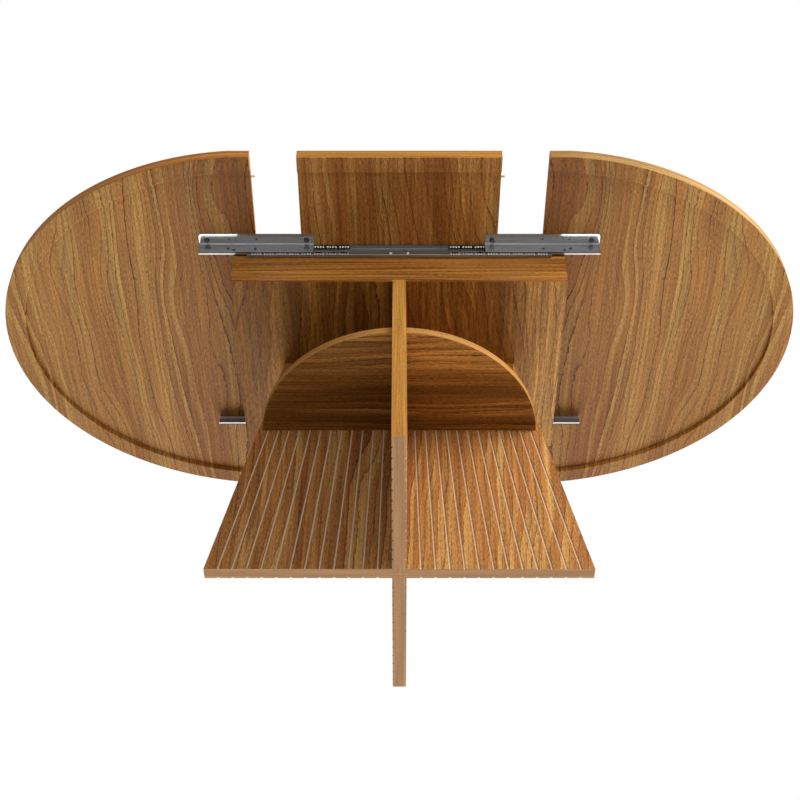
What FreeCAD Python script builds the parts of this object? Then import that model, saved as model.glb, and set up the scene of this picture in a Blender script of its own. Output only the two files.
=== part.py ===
import FreeCAD, Part
import Sketcher
import os

# Extending oval dining table: fluted cross pedestal, folding butterfly leaf and steel ball slides
# Frame: origin on the floor at the middle of the pedestal, X along the pull of the tops, Z up

# Driving dimensions in millimetres; a name that ends in share has no unit
SIZES = {
    # Tops and leaf
    "table_height": 760,
    "top_half_length": 620.5,
    "leaf_half_depth": 523.5,
    "oval_crown": 1.5,
    "leaf_width": 450,
    "open_gap": 104.5,
    "board_thickness": 15,
    "rim_drop": 11.5,
    "rim_end_width": 47.5,
    "rim_side_width": 40,
    "edge_ease": 1.5,
    # Alignment pins in the meeting edges
    "pin_radius": 2.5,
    "pin_proud": 8.5,
    "pin_sunk": 20,
    "pin_inset": 63.5,
    "socket_play": 0.3,
    # Barrel hinges in the fold of the leaf
    "barrel_radius": 5,
    "barrel_length": 14,
    "barrel_offset": 140,
    "barrel_slot_width": 3,
    "barrel_slot_depth": 10,
    "fold_lift": 0.15,
    "link_inner_radius": 5.5,
    "link_outer_radius": 8.5,
    "link_thickness": 2.4,
    "link_span_degrees": 118,
    # Pedestal
    "base_half_width": 403.5,
    "base_top_half_width": 271.2,
    "panel_thickness": 30,
    "flute_count": 12,
    "flute_start": 45,
    "flute_pitch": 30,
    "flute_radius": 2.5,
    "shelf_setback": 6.5,
    "shelf_thickness": 17,
    "shelf_underside": 401,
    # Leaf tray on the pedestal
    "carrier_thickness": 16,
    "carrier_half_length": 379,
    "carrier_setback": 5.4,
    "beam_thickness": 18,
    "beam_height": 102.5,
    "beam_play": 3.5,
    # Fixed slide rails
    "rail_setback": 30.5,
    "rail_height": 35,
    "rail_depth": 10.5,
    "rail_drop": 4,
    "rail_lip": 1.6,
    "slide_sheet": 1.2,
    "slide_bend": 0.8,
    "stop_offset": 19.5,
    "stop_width": 5,
    "stop_height": 9,
    # Balls, cages and runners
    "ball_radius": 2.4,
    "ball_play": 0.1,
    "ball_inset": 8,
    "ball_groups": 7,
    "balls_in_group": 4,
    "group_gap_share": 0.6,
    "cage_setback": 7,
    "cage_length": 200,
    "cage_sheet": 0.8,
    "cage_gap": 0.6,
    "cage_depth": 7.1,
    "cage_slot_length": 14,
    "cage_slot_height": 4,
    "runner_depth": 5,
    "runner_proud": 0.5,
    # Angle brackets under the tops
    "bracket_length": 263,
    "bracket_reach": 132.5,
    "bracket_sheet": 2,
    "bracket_flange": 30,
    "bracket_wall": 33,
    "bracket_bend": 1.5,
    "bracket_corner": 8,
    "bracket_screw_inset": 18.5,
    "leaf_screw_inset": 16,
    "screw_line": 11,
    # Fasteners
    "screw_radius": 2,
    "screw_head_radius": 4.5,
    "screw_head_height": 2.5,
    "screw_length": 12,
    "pan_head_radius": 6,
    "pan_head_height": 3,
    "pan_head_round": 1.8,
    "rivet_radius": 1.5,
    "rivet_head_radius": 3.2,
    "rivet_head_height": 1.2,
    "rivet_head_round": 0.9,
    "rivet_drop": 19.8,
    "low_rivet_drop": 24.7,
    "dowel_radius": 4,
    "dowel_sunk": 12,
    "carrier_screw_length": 40,
    "carrier_screw_distance": 185,
    "fit_play": 0.05,
    "overrun": 10,
}

doc = FreeCAD.newDocument("butterfly_leaf_table")
sheet = doc.addObject("Spreadsheet::Sheet", "dims")
for row, (size_name, size_value) in enumerate(SIZES.items(), start=1):
    sheet.set(f"A{row}", size_name)
    sheet.set(f"B{row}", str(size_value))
    sheet.setAlias(f"B{row}", size_name)
doc.recompute()

# Places that several pieces share, as expressions of the driving dimensions
UNDERSIDE = "(dims.table_height - dims.board_thickness)"
RIM_BOTTOM = f"({UNDERSIDE} - dims.rim_drop)"
LEAF_EDGE = "(dims.leaf_width / 2)"
SPLIT = f"({LEAF_EDGE} + dims.open_gap)"
EDGE_MIDDLE = "(dims.table_height - dims.board_thickness / 2)"
TOP_HALF_DEPTH = "(dims.leaf_half_depth + dims.oval_crown)"
PIN_ROW = "(dims.leaf_half_depth - dims.pin_inset)"
PANEL_FACE = "(dims.panel_thickness / 2)"
CARRIER_TOP = f"({UNDERSIDE} - dims.beam_play - dims.beam_height)"
PEDESTAL_HEIGHT = f"({CARRIER_TOP} - dims.carrier_thickness)"
PANEL_LEAN = f"((dims.base_half_width - dims.base_top_half_width) / {PEDESTAL_HEIGHT})"
SHELF_TOP = "(dims.shelf_underside + dims.shelf_thickness)"
SHELF_RADIUS = f"(dims.base_half_width - {PANEL_LEAN} * {SHELF_TOP} - dims.shelf_setback)"
BEAM_FACE = "(dims.base_top_half_width - dims.carrier_setback)"
RAIL_HALF_LENGTH = "(dims.carrier_half_length - dims.rail_setback)"
CAGE_OUTER = f"({RAIL_HALF_LENGTH} - dims.cage_setback)"
RAIL_TOP = f"({UNDERSIDE} - dims.rail_drop)"
RAIL_BOTTOM = f"({RAIL_TOP} - dims.rail_height)"
RAIL_MIDDLE = f"({RAIL_TOP} - dims.rail_height / 2)"
RAIL_FRONT = f"({BEAM_FACE} + dims.rail_depth)"
BALL_ROW = f"({RAIL_BOTTOM} + dims.slide_sheet + dims.ball_play + dims.ball_radius)"
BALL_LINE = f"({BEAM_FACE} + dims.ball_inset)"
BALL_PITCH = "(dims.cage_length / (dims.ball_groups * (dims.balls_in_group + dims.group_gap_share)))"
RUNNER_BOTTOM = f"({BALL_ROW} + dims.ball_radius + dims.ball_play)"
RUNNER_TOP = f"({RAIL_TOP} + {RAIL_BOTTOM} - {RUNNER_BOTTOM})"
RUNNER_FRONT = f"({RAIL_FRONT} + dims.runner_proud)"
BRACKET_INNER = f"({SPLIT} - dims.bracket_reach)"
BRACKET_OUTER = f"({BRACKET_INNER} + dims.bracket_length)"
BRACKET_FRONT = f"({RUNNER_FRONT} + dims.bracket_sheet)"
DOWEL_LENGTH = "2 * dims.dowel_sunk"
DOWEL_BORE = "dims.dowel_radius + dims.fit_play"
SCREW_BORE = "dims.screw_radius + dims.fit_play"

NODES = {}
ALONG_X = FreeCAD.Rotation(FreeCAD.Vector(0, 1, 0), 90)
ALONG_Y = FreeCAD.Rotation(FreeCAD.Vector(1, 0, 0), -90)
ALONG_Z = FreeCAD.Rotation()
NORMAL_X = FreeCAD.Vector(1, 0, 0)
NORMAL_Y = FreeCAD.Vector(0, 1, 0)


def size(name):
    """Present value of a driving dimension."""
    return float(sheet.get(name))


def value(expression):
    """Present value of an expression of the driving dimensions."""
    return float(sheet.evalExpression(expression))


def place(piece, x, y, z):
    """Tie the base point of a piece to three expressions."""
    for axis, expression in zip("xyz", (x, y, z)):
        piece.setExpression(f"Placement.Base.{axis}", expression)
    return piece


def block(name, corner, lengths):
    """Rectangular block from its lowest corner."""
    piece = doc.addObject("Part::Box", name)
    for side, expression in zip(("Length", "Width", "Height"), lengths):
        piece.setExpression(side, expression)
    return place(piece, *corner)


def rod(name, start, radius, length, turn=ALONG_Z):
    """Round bar from the middle of its first end."""
    piece = doc.addObject("Part::Cylinder", name)
    piece.Placement = FreeCAD.Placement(FreeCAD.Vector(), turn)
    piece.setExpression("Radius", radius)
    piece.setExpression("Height", length)
    return place(piece, *start)


def group(name, pieces):
    """Separate solids under one name."""
    piece = doc.addObject("Part::Compound", name)
    piece.Links = pieces
    return piece


def fuse(name, pieces):
    """Pieces joined into one solid."""
    piece = doc.addObject("Part::MultiFuse", name)
    piece.Shapes = pieces
    return piece


def cut(name, base, tools):
    """Base with every tool taken away."""
    piece = doc.addObject("Part::Cut", name)
    piece.Base = base
    piece.Tool = tools[0] if len(tools) == 1 else group(f"{name}_tools", tools)
    return piece


def common(name, first, second):
    """What two pieces share."""
    piece = doc.addObject("Part::Common", name)
    piece.Base = first
    piece.Tool = second
    return piece


def mirror(name, source, normal):
    """Mirror image through the origin."""
    piece = doc.addObject("Part::Mirroring", name)
    piece.Source = source
    piece.Normal = normal
    return piece


def node(name, piece):
    """Name a finished sub-part."""
    piece.Label = name
    NODES[name] = piece
    return piece


def prism(name, role, points, start, length):
    """Polygon sketch on an origin plane, every corner tied to the sheet, padded along its normal."""
    body = doc.addObject("PartDesign::Body", name)
    sketch = body.newObject("Sketcher::SketchObject", f"{name}_outline")
    plane = next(item for item in body.Origin.OriginFeatures if item.Role == role)
    sketch.AttachmentSupport = [(plane, "")]
    sketch.MapMode = "FlatFace"
    sketch.setExpression("AttachmentOffset.Base.z", start)
    corners = [FreeCAD.Vector(value(across), value(up), 0) for across, up in points]
    for index, corner in enumerate(corners):
        sketch.addGeometry(Part.LineSegment(corner, corners[(index + 1) % len(corners)]))
    for index in range(len(corners)):
        sketch.addConstraint(Sketcher.Constraint("Coincident", index, 2, (index + 1) % len(corners), 1))
    for index, (corner, point) in enumerate(zip(corners, points)):
        tie_corner(sketch, index, "DistanceX", corner.x, point[0], -2)
        tie_corner(sketch, index, "DistanceY", corner.y, point[1], -1)
    doc.recompute()
    pad = body.newObject("PartDesign::Pad", f"{name}_pad")
    pad.Profile = sketch
    pad.setExpression("Length", length)
    body.Tip = pad
    return body


def tie_corner(sketch, index, kind, present, expression, axis):
    """Hold one coordinate of a sketch corner at an expression, measured from the sketch's origin."""
    if expression == "0":
        sketch.addConstraint(Sketcher.Constraint("PointOnObject", index, 1, axis))
        return
    ends = (-1, 1, index, 1) if present > 0 else (index, 1, -1, 1)
    number = sketch.addConstraint(Sketcher.Constraint(kind, *ends, abs(present)))
    label = f"{kind}{index}"
    sketch.renameConstraint(number, label)
    sketch.setExpression(f"Constraints.{label}", expression if present > 0 else f"-({expression})")


def rounded(name, base, rounds, spared=None):
    """Base with edges rounded, by the planes that they lie in; edges in the spared planes stay sharp."""
    doc.recompute()
    picks = {}
    for planes, radius in rounds:
        for number, edge in enumerate(base.Shape.Edges, start=1):
            if lies_in(edge, planes) and not (spared and lies_in(edge, spared)):
                picks[number] = value(radius)
    piece = doc.addObject("Part::Fillet", name)
    piece.Base = base
    piece.Edges = [(number, radius, radius) for number, radius in sorted(picks.items())]
    return piece


def lies_in(edge, planes):
    """Whether an edge lies in every plane given as an axis and a place on it."""
    box = edge.BoundBox
    for axis, at in planes.items():
        low = getattr(box, f"{axis}Min") - value(at)
        high = getattr(box, f"{axis}Max") - value(at)
        if abs(low) + abs(high) > size("fit_play"):
            return False
    return True


def flutes(name, across, face):
    """Half-round flutes that fan with the taper, on one half of one face of a pedestal panel."""
    tools = []
    for index in range(int(size("flute_count"))):
        foot = f"(dims.flute_start + {index} * dims.flute_pitch)"
        lean = f"atan({foot} * {PANEL_LEAN} / dims.base_half_width)"
        length = f"({PEDESTAL_HEIGHT} + 2 * dims.overrun) / cos({lean})"
        start = f"{foot} + dims.overrun * tan({lean})"
        at = (start, face, "-dims.overrun") if across == "x" else (face, start, "-dims.overrun")
        tool = rod(f"{name}_{index}", at, "dims.flute_radius", length)
        tool.Placement.Rotation = FreeCAD.Rotation(NORMAL_X if across == "y" else NORMAL_Y, 1)
        tool.setExpression("Placement.Rotation.Angle", lean if across == "y" else f"-{lean}")
        tools.append(tool)
    return group(name, tools)


# Pedestal: one panel runs through fore and aft, two wings butt against it
def pedestal():
    """Spine and wing panels with their flutes and the dowels between them."""
    foot = "dims.base_half_width"
    head = "dims.base_top_half_width"
    top = PEDESTAL_HEIGHT
    spine = prism(
        "spine_blank", "YZ_Plane",
        [(f"-{foot}", "0"), (foot, "0"), (head, top), (f"-{head}", top)],
        f"-{PANEL_FACE}", "dims.panel_thickness")
    spine_far = flutes("spine_flutes_far", "y", PANEL_FACE)
    spine_near = mirror("spine_flutes_near", spine_far, NORMAL_Y)
    spine_right = group("spine_flutes_right", [spine_far, spine_near])
    spine_left = mirror("spine_flutes_left", spine_right, NORMAL_X)

    wing = prism(
        "wing_blank", "XZ_Plane",
        [(PANEL_FACE, "0"), (foot, "0"), (head, top), (PANEL_FACE, top)],
        f"-{PANEL_FACE}", "dims.panel_thickness")
    wing_far = flutes("wing_flutes_far", "x", PANEL_FACE)
    wing_near = mirror("wing_flutes_near", wing_far, NORMAL_Y)

    dowels = []
    holes = []
    for index, height_share in enumerate((0.15, 0.45, 0.85)):
        start = (f"{PANEL_FACE} - dims.dowel_sunk", "0", f"{PEDESTAL_HEIGHT} * {height_share}")
        dowels.append(rod(f"wing_dowel_{index}", start, "dims.dowel_radius", DOWEL_LENGTH, ALONG_X))
        holes.append(rod(f"wing_dowel_hole_{index}", start, DOWEL_BORE, DOWEL_LENGTH, ALONG_X))
    holes_right = group("wing_dowel_holes_right", holes)
    holes_left = mirror("wing_dowel_holes_left", holes_right, NORMAL_X)
    dowels_right = group("wing_dowels_right", dowels)
    dowels_left = mirror("wing_dowels_left", dowels_right, NORMAL_X)
    node("wing_dowels", group("wing_dowels", [dowels_right, dowels_left]))

    screw_holes = carrier_screws()
    shelf_holes = shelves()
    node("spine_panel", cut(
        "spine_panel", spine,
        [spine_right, spine_left, holes_right, holes_left, screw_holes["spine"], shelf_holes]))
    right_wing = cut("right_wing_panel", wing, [wing_far, wing_near, holes_right, screw_holes["wing"]])
    node("right_wing_panel", right_wing)
    node("left_wing_panel", mirror("left_wing_panel", right_wing, NORMAL_X))


# Round shelf: four quarter boards between the panels, each dowelled to the spine
def shelves():
    """Quarter shelf boards and their dowels; gives back the dowel holes in the spine."""
    disc = rod("shelf_disc", ("0", "0", "dims.shelf_underside"), SHELF_RADIUS, "dims.shelf_thickness")
    corner = (PANEL_FACE, PANEL_FACE, "dims.shelf_underside")
    quarter = block("shelf_corner", corner, (SHELF_RADIUS, SHELF_RADIUS, "dims.shelf_thickness"))
    dowels = []
    holes = []
    for index, reach_share in enumerate((0.25, 0.75)):
        start = (
            f"{PANEL_FACE} - dims.dowel_sunk", f"{SHELF_RADIUS} * {reach_share}",
            "dims.shelf_underside + dims.shelf_thickness / 2")
        dowels.append(rod(f"shelf_dowel_{index}", start, "dims.dowel_radius", DOWEL_LENGTH, ALONG_X))
        holes.append(rod(f"shelf_dowel_hole_{index}", start, DOWEL_BORE, DOWEL_LENGTH, ALONG_X))
    holes_far_right = group("shelf_holes_far_right", holes)
    holes_near_right = mirror("shelf_holes_near_right", holes_far_right, NORMAL_Y)
    holes_right = group("shelf_holes_right", [holes_far_right, holes_near_right])
    holes_left = mirror("shelf_holes_left", holes_right, NORMAL_X)
    board = cut("far_right_shelf", common("shelf_quarter", disc, quarter), [holes_far_right])
    node("far_right_shelf", board)
    near_board = node("near_right_shelf", mirror("near_right_shelf", board, NORMAL_Y))
    node("far_left_shelf", mirror("far_left_shelf", board, NORMAL_X))
    node("near_left_shelf", mirror("near_left_shelf", near_board, NORMAL_X))
    dowels_far = group("shelf_dowels_far", dowels)
    dowels_near = mirror("shelf_dowels_near", dowels_far, NORMAL_Y)
    dowels_right = group("shelf_dowels_right", [dowels_far, dowels_near])
    dowels_left = mirror("shelf_dowels_left", dowels_right, NORMAL_X)
    node("shelf_dowels", group("shelf_dowels", [dowels_right, dowels_left]))
    return group("shelf_holes", [holes_right, holes_left])


# Tray board: screwed down on the pedestal, flush countersunk heads inside the tray
def carrier_screws():
    """Screws through the tray board into the panels; gives back the pilot holes by panel."""
    screws = []
    board_holes = []
    pilots = {"spine": [], "wing": []}
    places = {
        "spine_near": ("0", "-dims.carrier_screw_distance"), "spine_far": ("0", "dims.carrier_screw_distance"),
        "wing_right": ("dims.carrier_screw_distance", "0"), "wing_left": ("-dims.carrier_screw_distance", "0")}
    head_floor = f"{CARRIER_TOP} - dims.screw_head_height"
    tip = f"{CARRIER_TOP} - dims.carrier_screw_length"
    shank = "dims.carrier_screw_length - dims.screw_head_height"
    for name, (x, y) in places.items():
        head = countersunk(f"{name}_head", (x, y, head_floor), "0", ALONG_Z)
        stem = rod(f"{name}_stem", (x, y, tip), "dims.screw_radius", shank)
        screws.append(fuse(f"{name}_screw", [head, stem]))
        sink = countersunk(f"{name}_sink", (x, y, head_floor), "dims.fit_play", ALONG_Z)
        bore = rod(f"{name}_bore", (x, y, tip), SCREW_BORE, shank)
        board_holes += [fuse(f"{name}_hole", [sink, bore])]
        pilots[name.split("_")[0]].append(bore)
    node("carrier_screws", group("carrier_screws", screws))
    board = block(
        "carrier_blank", ("-dims.carrier_half_length", f"-{BEAM_FACE}", PEDESTAL_HEIGHT),
        ("2 * dims.carrier_half_length", f"2 * {BEAM_FACE}", "dims.carrier_thickness"))
    beam_holes = tray_beams()
    node("carrier_board", cut("carrier_board", board, board_holes + [beam_holes]))
    return {panel: group(f"{panel}_pilots", holes) for panel, holes in pilots.items()}


def countersunk(name, start, play, turn):
    """Cone of a countersunk screw head, from the shank up to the flush face."""
    piece = doc.addObject("Part::Cone", name)
    piece.Placement = FreeCAD.Placement(FreeCAD.Vector(), turn)
    piece.setExpression("Radius1", f"dims.screw_radius + {play}")
    piece.setExpression("Radius2", f"dims.screw_head_radius + {play}")
    piece.setExpression("Height", "dims.screw_head_height")
    return place(piece, *start)


# Tray beams: one along each long side of the tray board, dowelled to it, carrying the slides
def tray_beams():
    """Near and far beams, slide rails, rail screws and stops; gives back the dowel holes in the board."""
    beam = block(
        "beam_blank", ("-dims.carrier_half_length", f"-{BEAM_FACE}", CARRIER_TOP),
        ("2 * dims.carrier_half_length", "dims.beam_thickness", "dims.beam_height"))
    middle = f"-({BEAM_FACE} - dims.beam_thickness / 2)"
    dowels = []
    holes = []
    for index, length_share in enumerate((-0.8, -0.27, 0.27, 0.8)):
        start = (f"dims.carrier_half_length * {length_share}", middle, f"{CARRIER_TOP} - dims.dowel_sunk")
        dowels.append(rod(f"beam_dowel_{index}", start, "dims.dowel_radius", DOWEL_LENGTH))
        holes.append(rod(f"beam_hole_{index}", start, DOWEL_BORE, DOWEL_LENGTH))
    holes_near = group("beam_holes_near", holes)
    dowels_near = group("beam_dowels_near", dowels)
    dowels_far = mirror("beam_dowels_far", dowels_near, NORMAL_Y)
    node("beam_dowels", group("beam_dowels", [dowels_near, dowels_far]))

    web_front = f"-({BEAM_FACE} + dims.slide_sheet)"
    screws = []
    screw_holes = []
    facing = FreeCAD.Rotation(NORMAL_X, 90)
    for index, length_share in enumerate((-0.9, -0.45, 0.45, 0.9)):
        head_floor = f"{web_front} + dims.screw_head_height"
        start = (f"{RAIL_HALF_LENGTH} * {length_share}", head_floor, RAIL_MIDDLE)
        head = countersunk(f"rail_head_{index}", start, "0", facing)
        stem = rod(f"rail_stem_{index}", start, "dims.screw_radius", "dims.screw_length", ALONG_Y)
        screws.append(fuse(f"rail_screw_{index}", [head, stem]))
        sink = countersunk(f"rail_sink_{index}", start, "dims.fit_play", facing)
        bore = rod(f"rail_bore_{index}", start, SCREW_BORE, "dims.screw_length", ALONG_Y)
        screw_holes.append(fuse(f"rail_screw_hole_{index}", [sink, bore]))
    near_screws = group("rail_screws_near", screws)
    far_screws = mirror("rail_screws_far", near_screws, NORMAL_Y)
    node("rail_screws", group("rail_screws", [near_screws, far_screws]))
    hole_group = group("rail_screw_holes", screw_holes)
    near_beam = node("near_rail_beam", cut("near_rail_beam", beam, [holes_near, hole_group]))
    node("far_rail_beam", mirror("far_rail_beam", near_beam, NORMAL_Y))

    back = f"-{BEAM_FACE}"
    front = f"-{RAIL_FRONT}"
    lip_back = f"-({RAIL_FRONT} - dims.slide_sheet)"
    lower = f"({RAIL_BOTTOM} + dims.slide_sheet)"
    upper = f"({RAIL_TOP} - dims.slide_sheet)"
    lower_lip = f"({RAIL_BOTTOM} + dims.rail_lip)"
    upper_lip = f"({RAIL_TOP} - dims.rail_lip)"
    rail = prism(
        "rail_blank", "YZ_Plane",
        [(back, RAIL_BOTTOM), (back, RAIL_TOP), (front, RAIL_TOP), (front, upper_lip), (lip_back, upper_lip),
         (lip_back, upper), (web_front, upper), (web_front, lower), (lip_back, lower), (lip_back, lower_lip),
         (front, lower_lip), (front, RAIL_BOTTOM)],
        f"-{RAIL_HALF_LENGTH}", f"2 * {RAIL_HALF_LENGTH}")
    outer_bend = "dims.slide_sheet + dims.slide_bend"
    rolled = rounded("rail_rolled", rail, [
        ({"Y": back, "Z": RAIL_BOTTOM}, outer_bend), ({"Y": web_front, "Z": lower}, "dims.slide_bend"),
        ({"Y": back, "Z": RAIL_TOP}, outer_bend), ({"Y": web_front, "Z": upper}, "dims.slide_bend"),
        ({"Y": front, "Z": RAIL_BOTTOM}, "dims.slide_sheet"), ({"Y": front, "Z": RAIL_TOP}, "dims.slide_sheet")])
    near_rail = node("near_slide_rail", cut("near_slide_rail", rolled, [hole_group]))
    node("far_slide_rail", mirror("far_slide_rail", near_rail, NORMAL_Y))

    stops = []
    for name, sign in (("left", "-"), ("right", "")):
        corner = (f"{sign}dims.stop_offset - dims.stop_width / 2", lip_back, lower)
        lengths = ("dims.stop_width", "dims.rail_depth - 2 * dims.slide_sheet", "dims.stop_height")
        blank = block(f"{name}_stop_blank", corner, lengths)
        stops.append(rounded(f"{name}_stop", blank, [({"Y": web_front, "Z": lower}, outer_bend)]))
    near_stops = group("slide_stops_near", stops)
    node("slide_stops", group("slide_stops", [near_stops, mirror("slide_stops_far", near_stops, NORMAL_Y)]))
    return group("beam_holes", [holes_near, mirror("beam_holes_far", holes_near, NORMAL_Y)])


# Half tops: veneered board with a thicker rim glued under its curved edge
def half_oval(name, half_length, half_depth, floor, height):
    """Left half of an upright oval prism about the split line, cut square at the ends of the leaf."""
    curve = doc.addObject("Part::Ellipse", f"{name}_curve")
    curve.setExpression("MajorRadius", f"max({half_length}; {half_depth})")
    curve.setExpression("MinorRadius", f"min({half_length}; {half_depth})")
    curve.setExpression("Placement.Rotation.Angle", f"{half_length} < {half_depth} ? 90 : 0")
    place(curve, f"-{SPLIT}", "0", floor)
    solid = doc.addObject("Part::Extrusion", f"{name}_oval")
    solid.Base = curve
    solid.DirMode = "Custom"
    solid.Dir = FreeCAD.Vector(0, 0, 1)
    solid.Solid = True
    solid.setExpression("LengthFwd", height)
    keep = block(
        f"{name}_keep", (f"-({SPLIT} + {half_length})", "-dims.leaf_half_depth", floor),
        (half_length, "2 * dims.leaf_half_depth", height))
    return common(name, solid, keep)


def edge_holes(name, edge, inward, radius):
    """Pair of round holes in an edge that faces along X, from the edge inwards."""
    start = f"{edge} - dims.pin_sunk" if inward == "-" else edge
    rows = {"near": f"-{PIN_ROW}", "far": PIN_ROW}
    return {row: rod(f"{name}_{row}", (start, y, EDGE_MIDDLE), radius, "dims.pin_sunk", ALONG_X)
            for row, y in rows.items()}


def edge_pins(name, edge):
    """Pair of brass pins that stand out of an edge along +X."""
    rows = {"near": f"-{PIN_ROW}", "far": PIN_ROW}
    start = f"{edge} - dims.pin_sunk"
    length = "dims.pin_sunk + dims.pin_proud"
    return {row: rod(f"{name}_{row}", (start, y, EDGE_MIDDLE), "dims.pin_radius", length, ALONG_X)
            for row, y in rows.items()}


def half_tops():
    """Left and right boards and rims, the left one's pins and the right one's sockets."""
    reach = "dims.top_half_length"
    board = half_oval("board_blank", reach, TOP_HALF_DEPTH, UNDERSIDE, "dims.board_thickness")
    ring = half_oval("rim_outer", reach, TOP_HALF_DEPTH, RIM_BOTTOM, "dims.rim_drop")
    hollow = half_oval(
        "rim_inner", f"({reach} - dims.rim_end_width)", f"({TOP_HALF_DEPTH} - dims.rim_side_width)",
        RIM_BOTTOM, "dims.rim_drop")
    eased_rim = [({"Z": RIM_BOTTOM}, "dims.edge_ease")]
    at_split = {"X": f"-{SPLIT}"}
    rim = node("left_top_rim", rounded("left_top_rim", cut("rim_ring", ring, [hollow]), eased_rim, at_split))
    node("right_top_rim", mirror("right_top_rim", rim, NORMAL_X))
    board = rounded("board_eased", board, [({"Z": "dims.table_height"}, "dims.edge_ease")], at_split)
    pilots = brackets()
    holes = edge_holes("left_pin_hole", f"-{SPLIT}", "-", "dims.pin_radius + dims.fit_play")
    node("left_top_panel", cut("left_top_panel", board, [holes["near"], holes["far"], pilots["left"]]))
    pins = edge_pins("left_pin", f"-{SPLIT}")
    node("left_dowel_pins", group("left_dowel_pins", [pins["near"], pins["far"]]))
    sockets = edge_holes("right_socket", SPLIT, "", "dims.pin_radius + dims.socket_play")
    right_board = mirror("right_board_blank", board, NORMAL_X)
    right_holes = [sockets["near"], sockets["far"], pilots["right"]]
    node("right_top_panel", cut("right_top_panel", right_board, right_holes))


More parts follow.
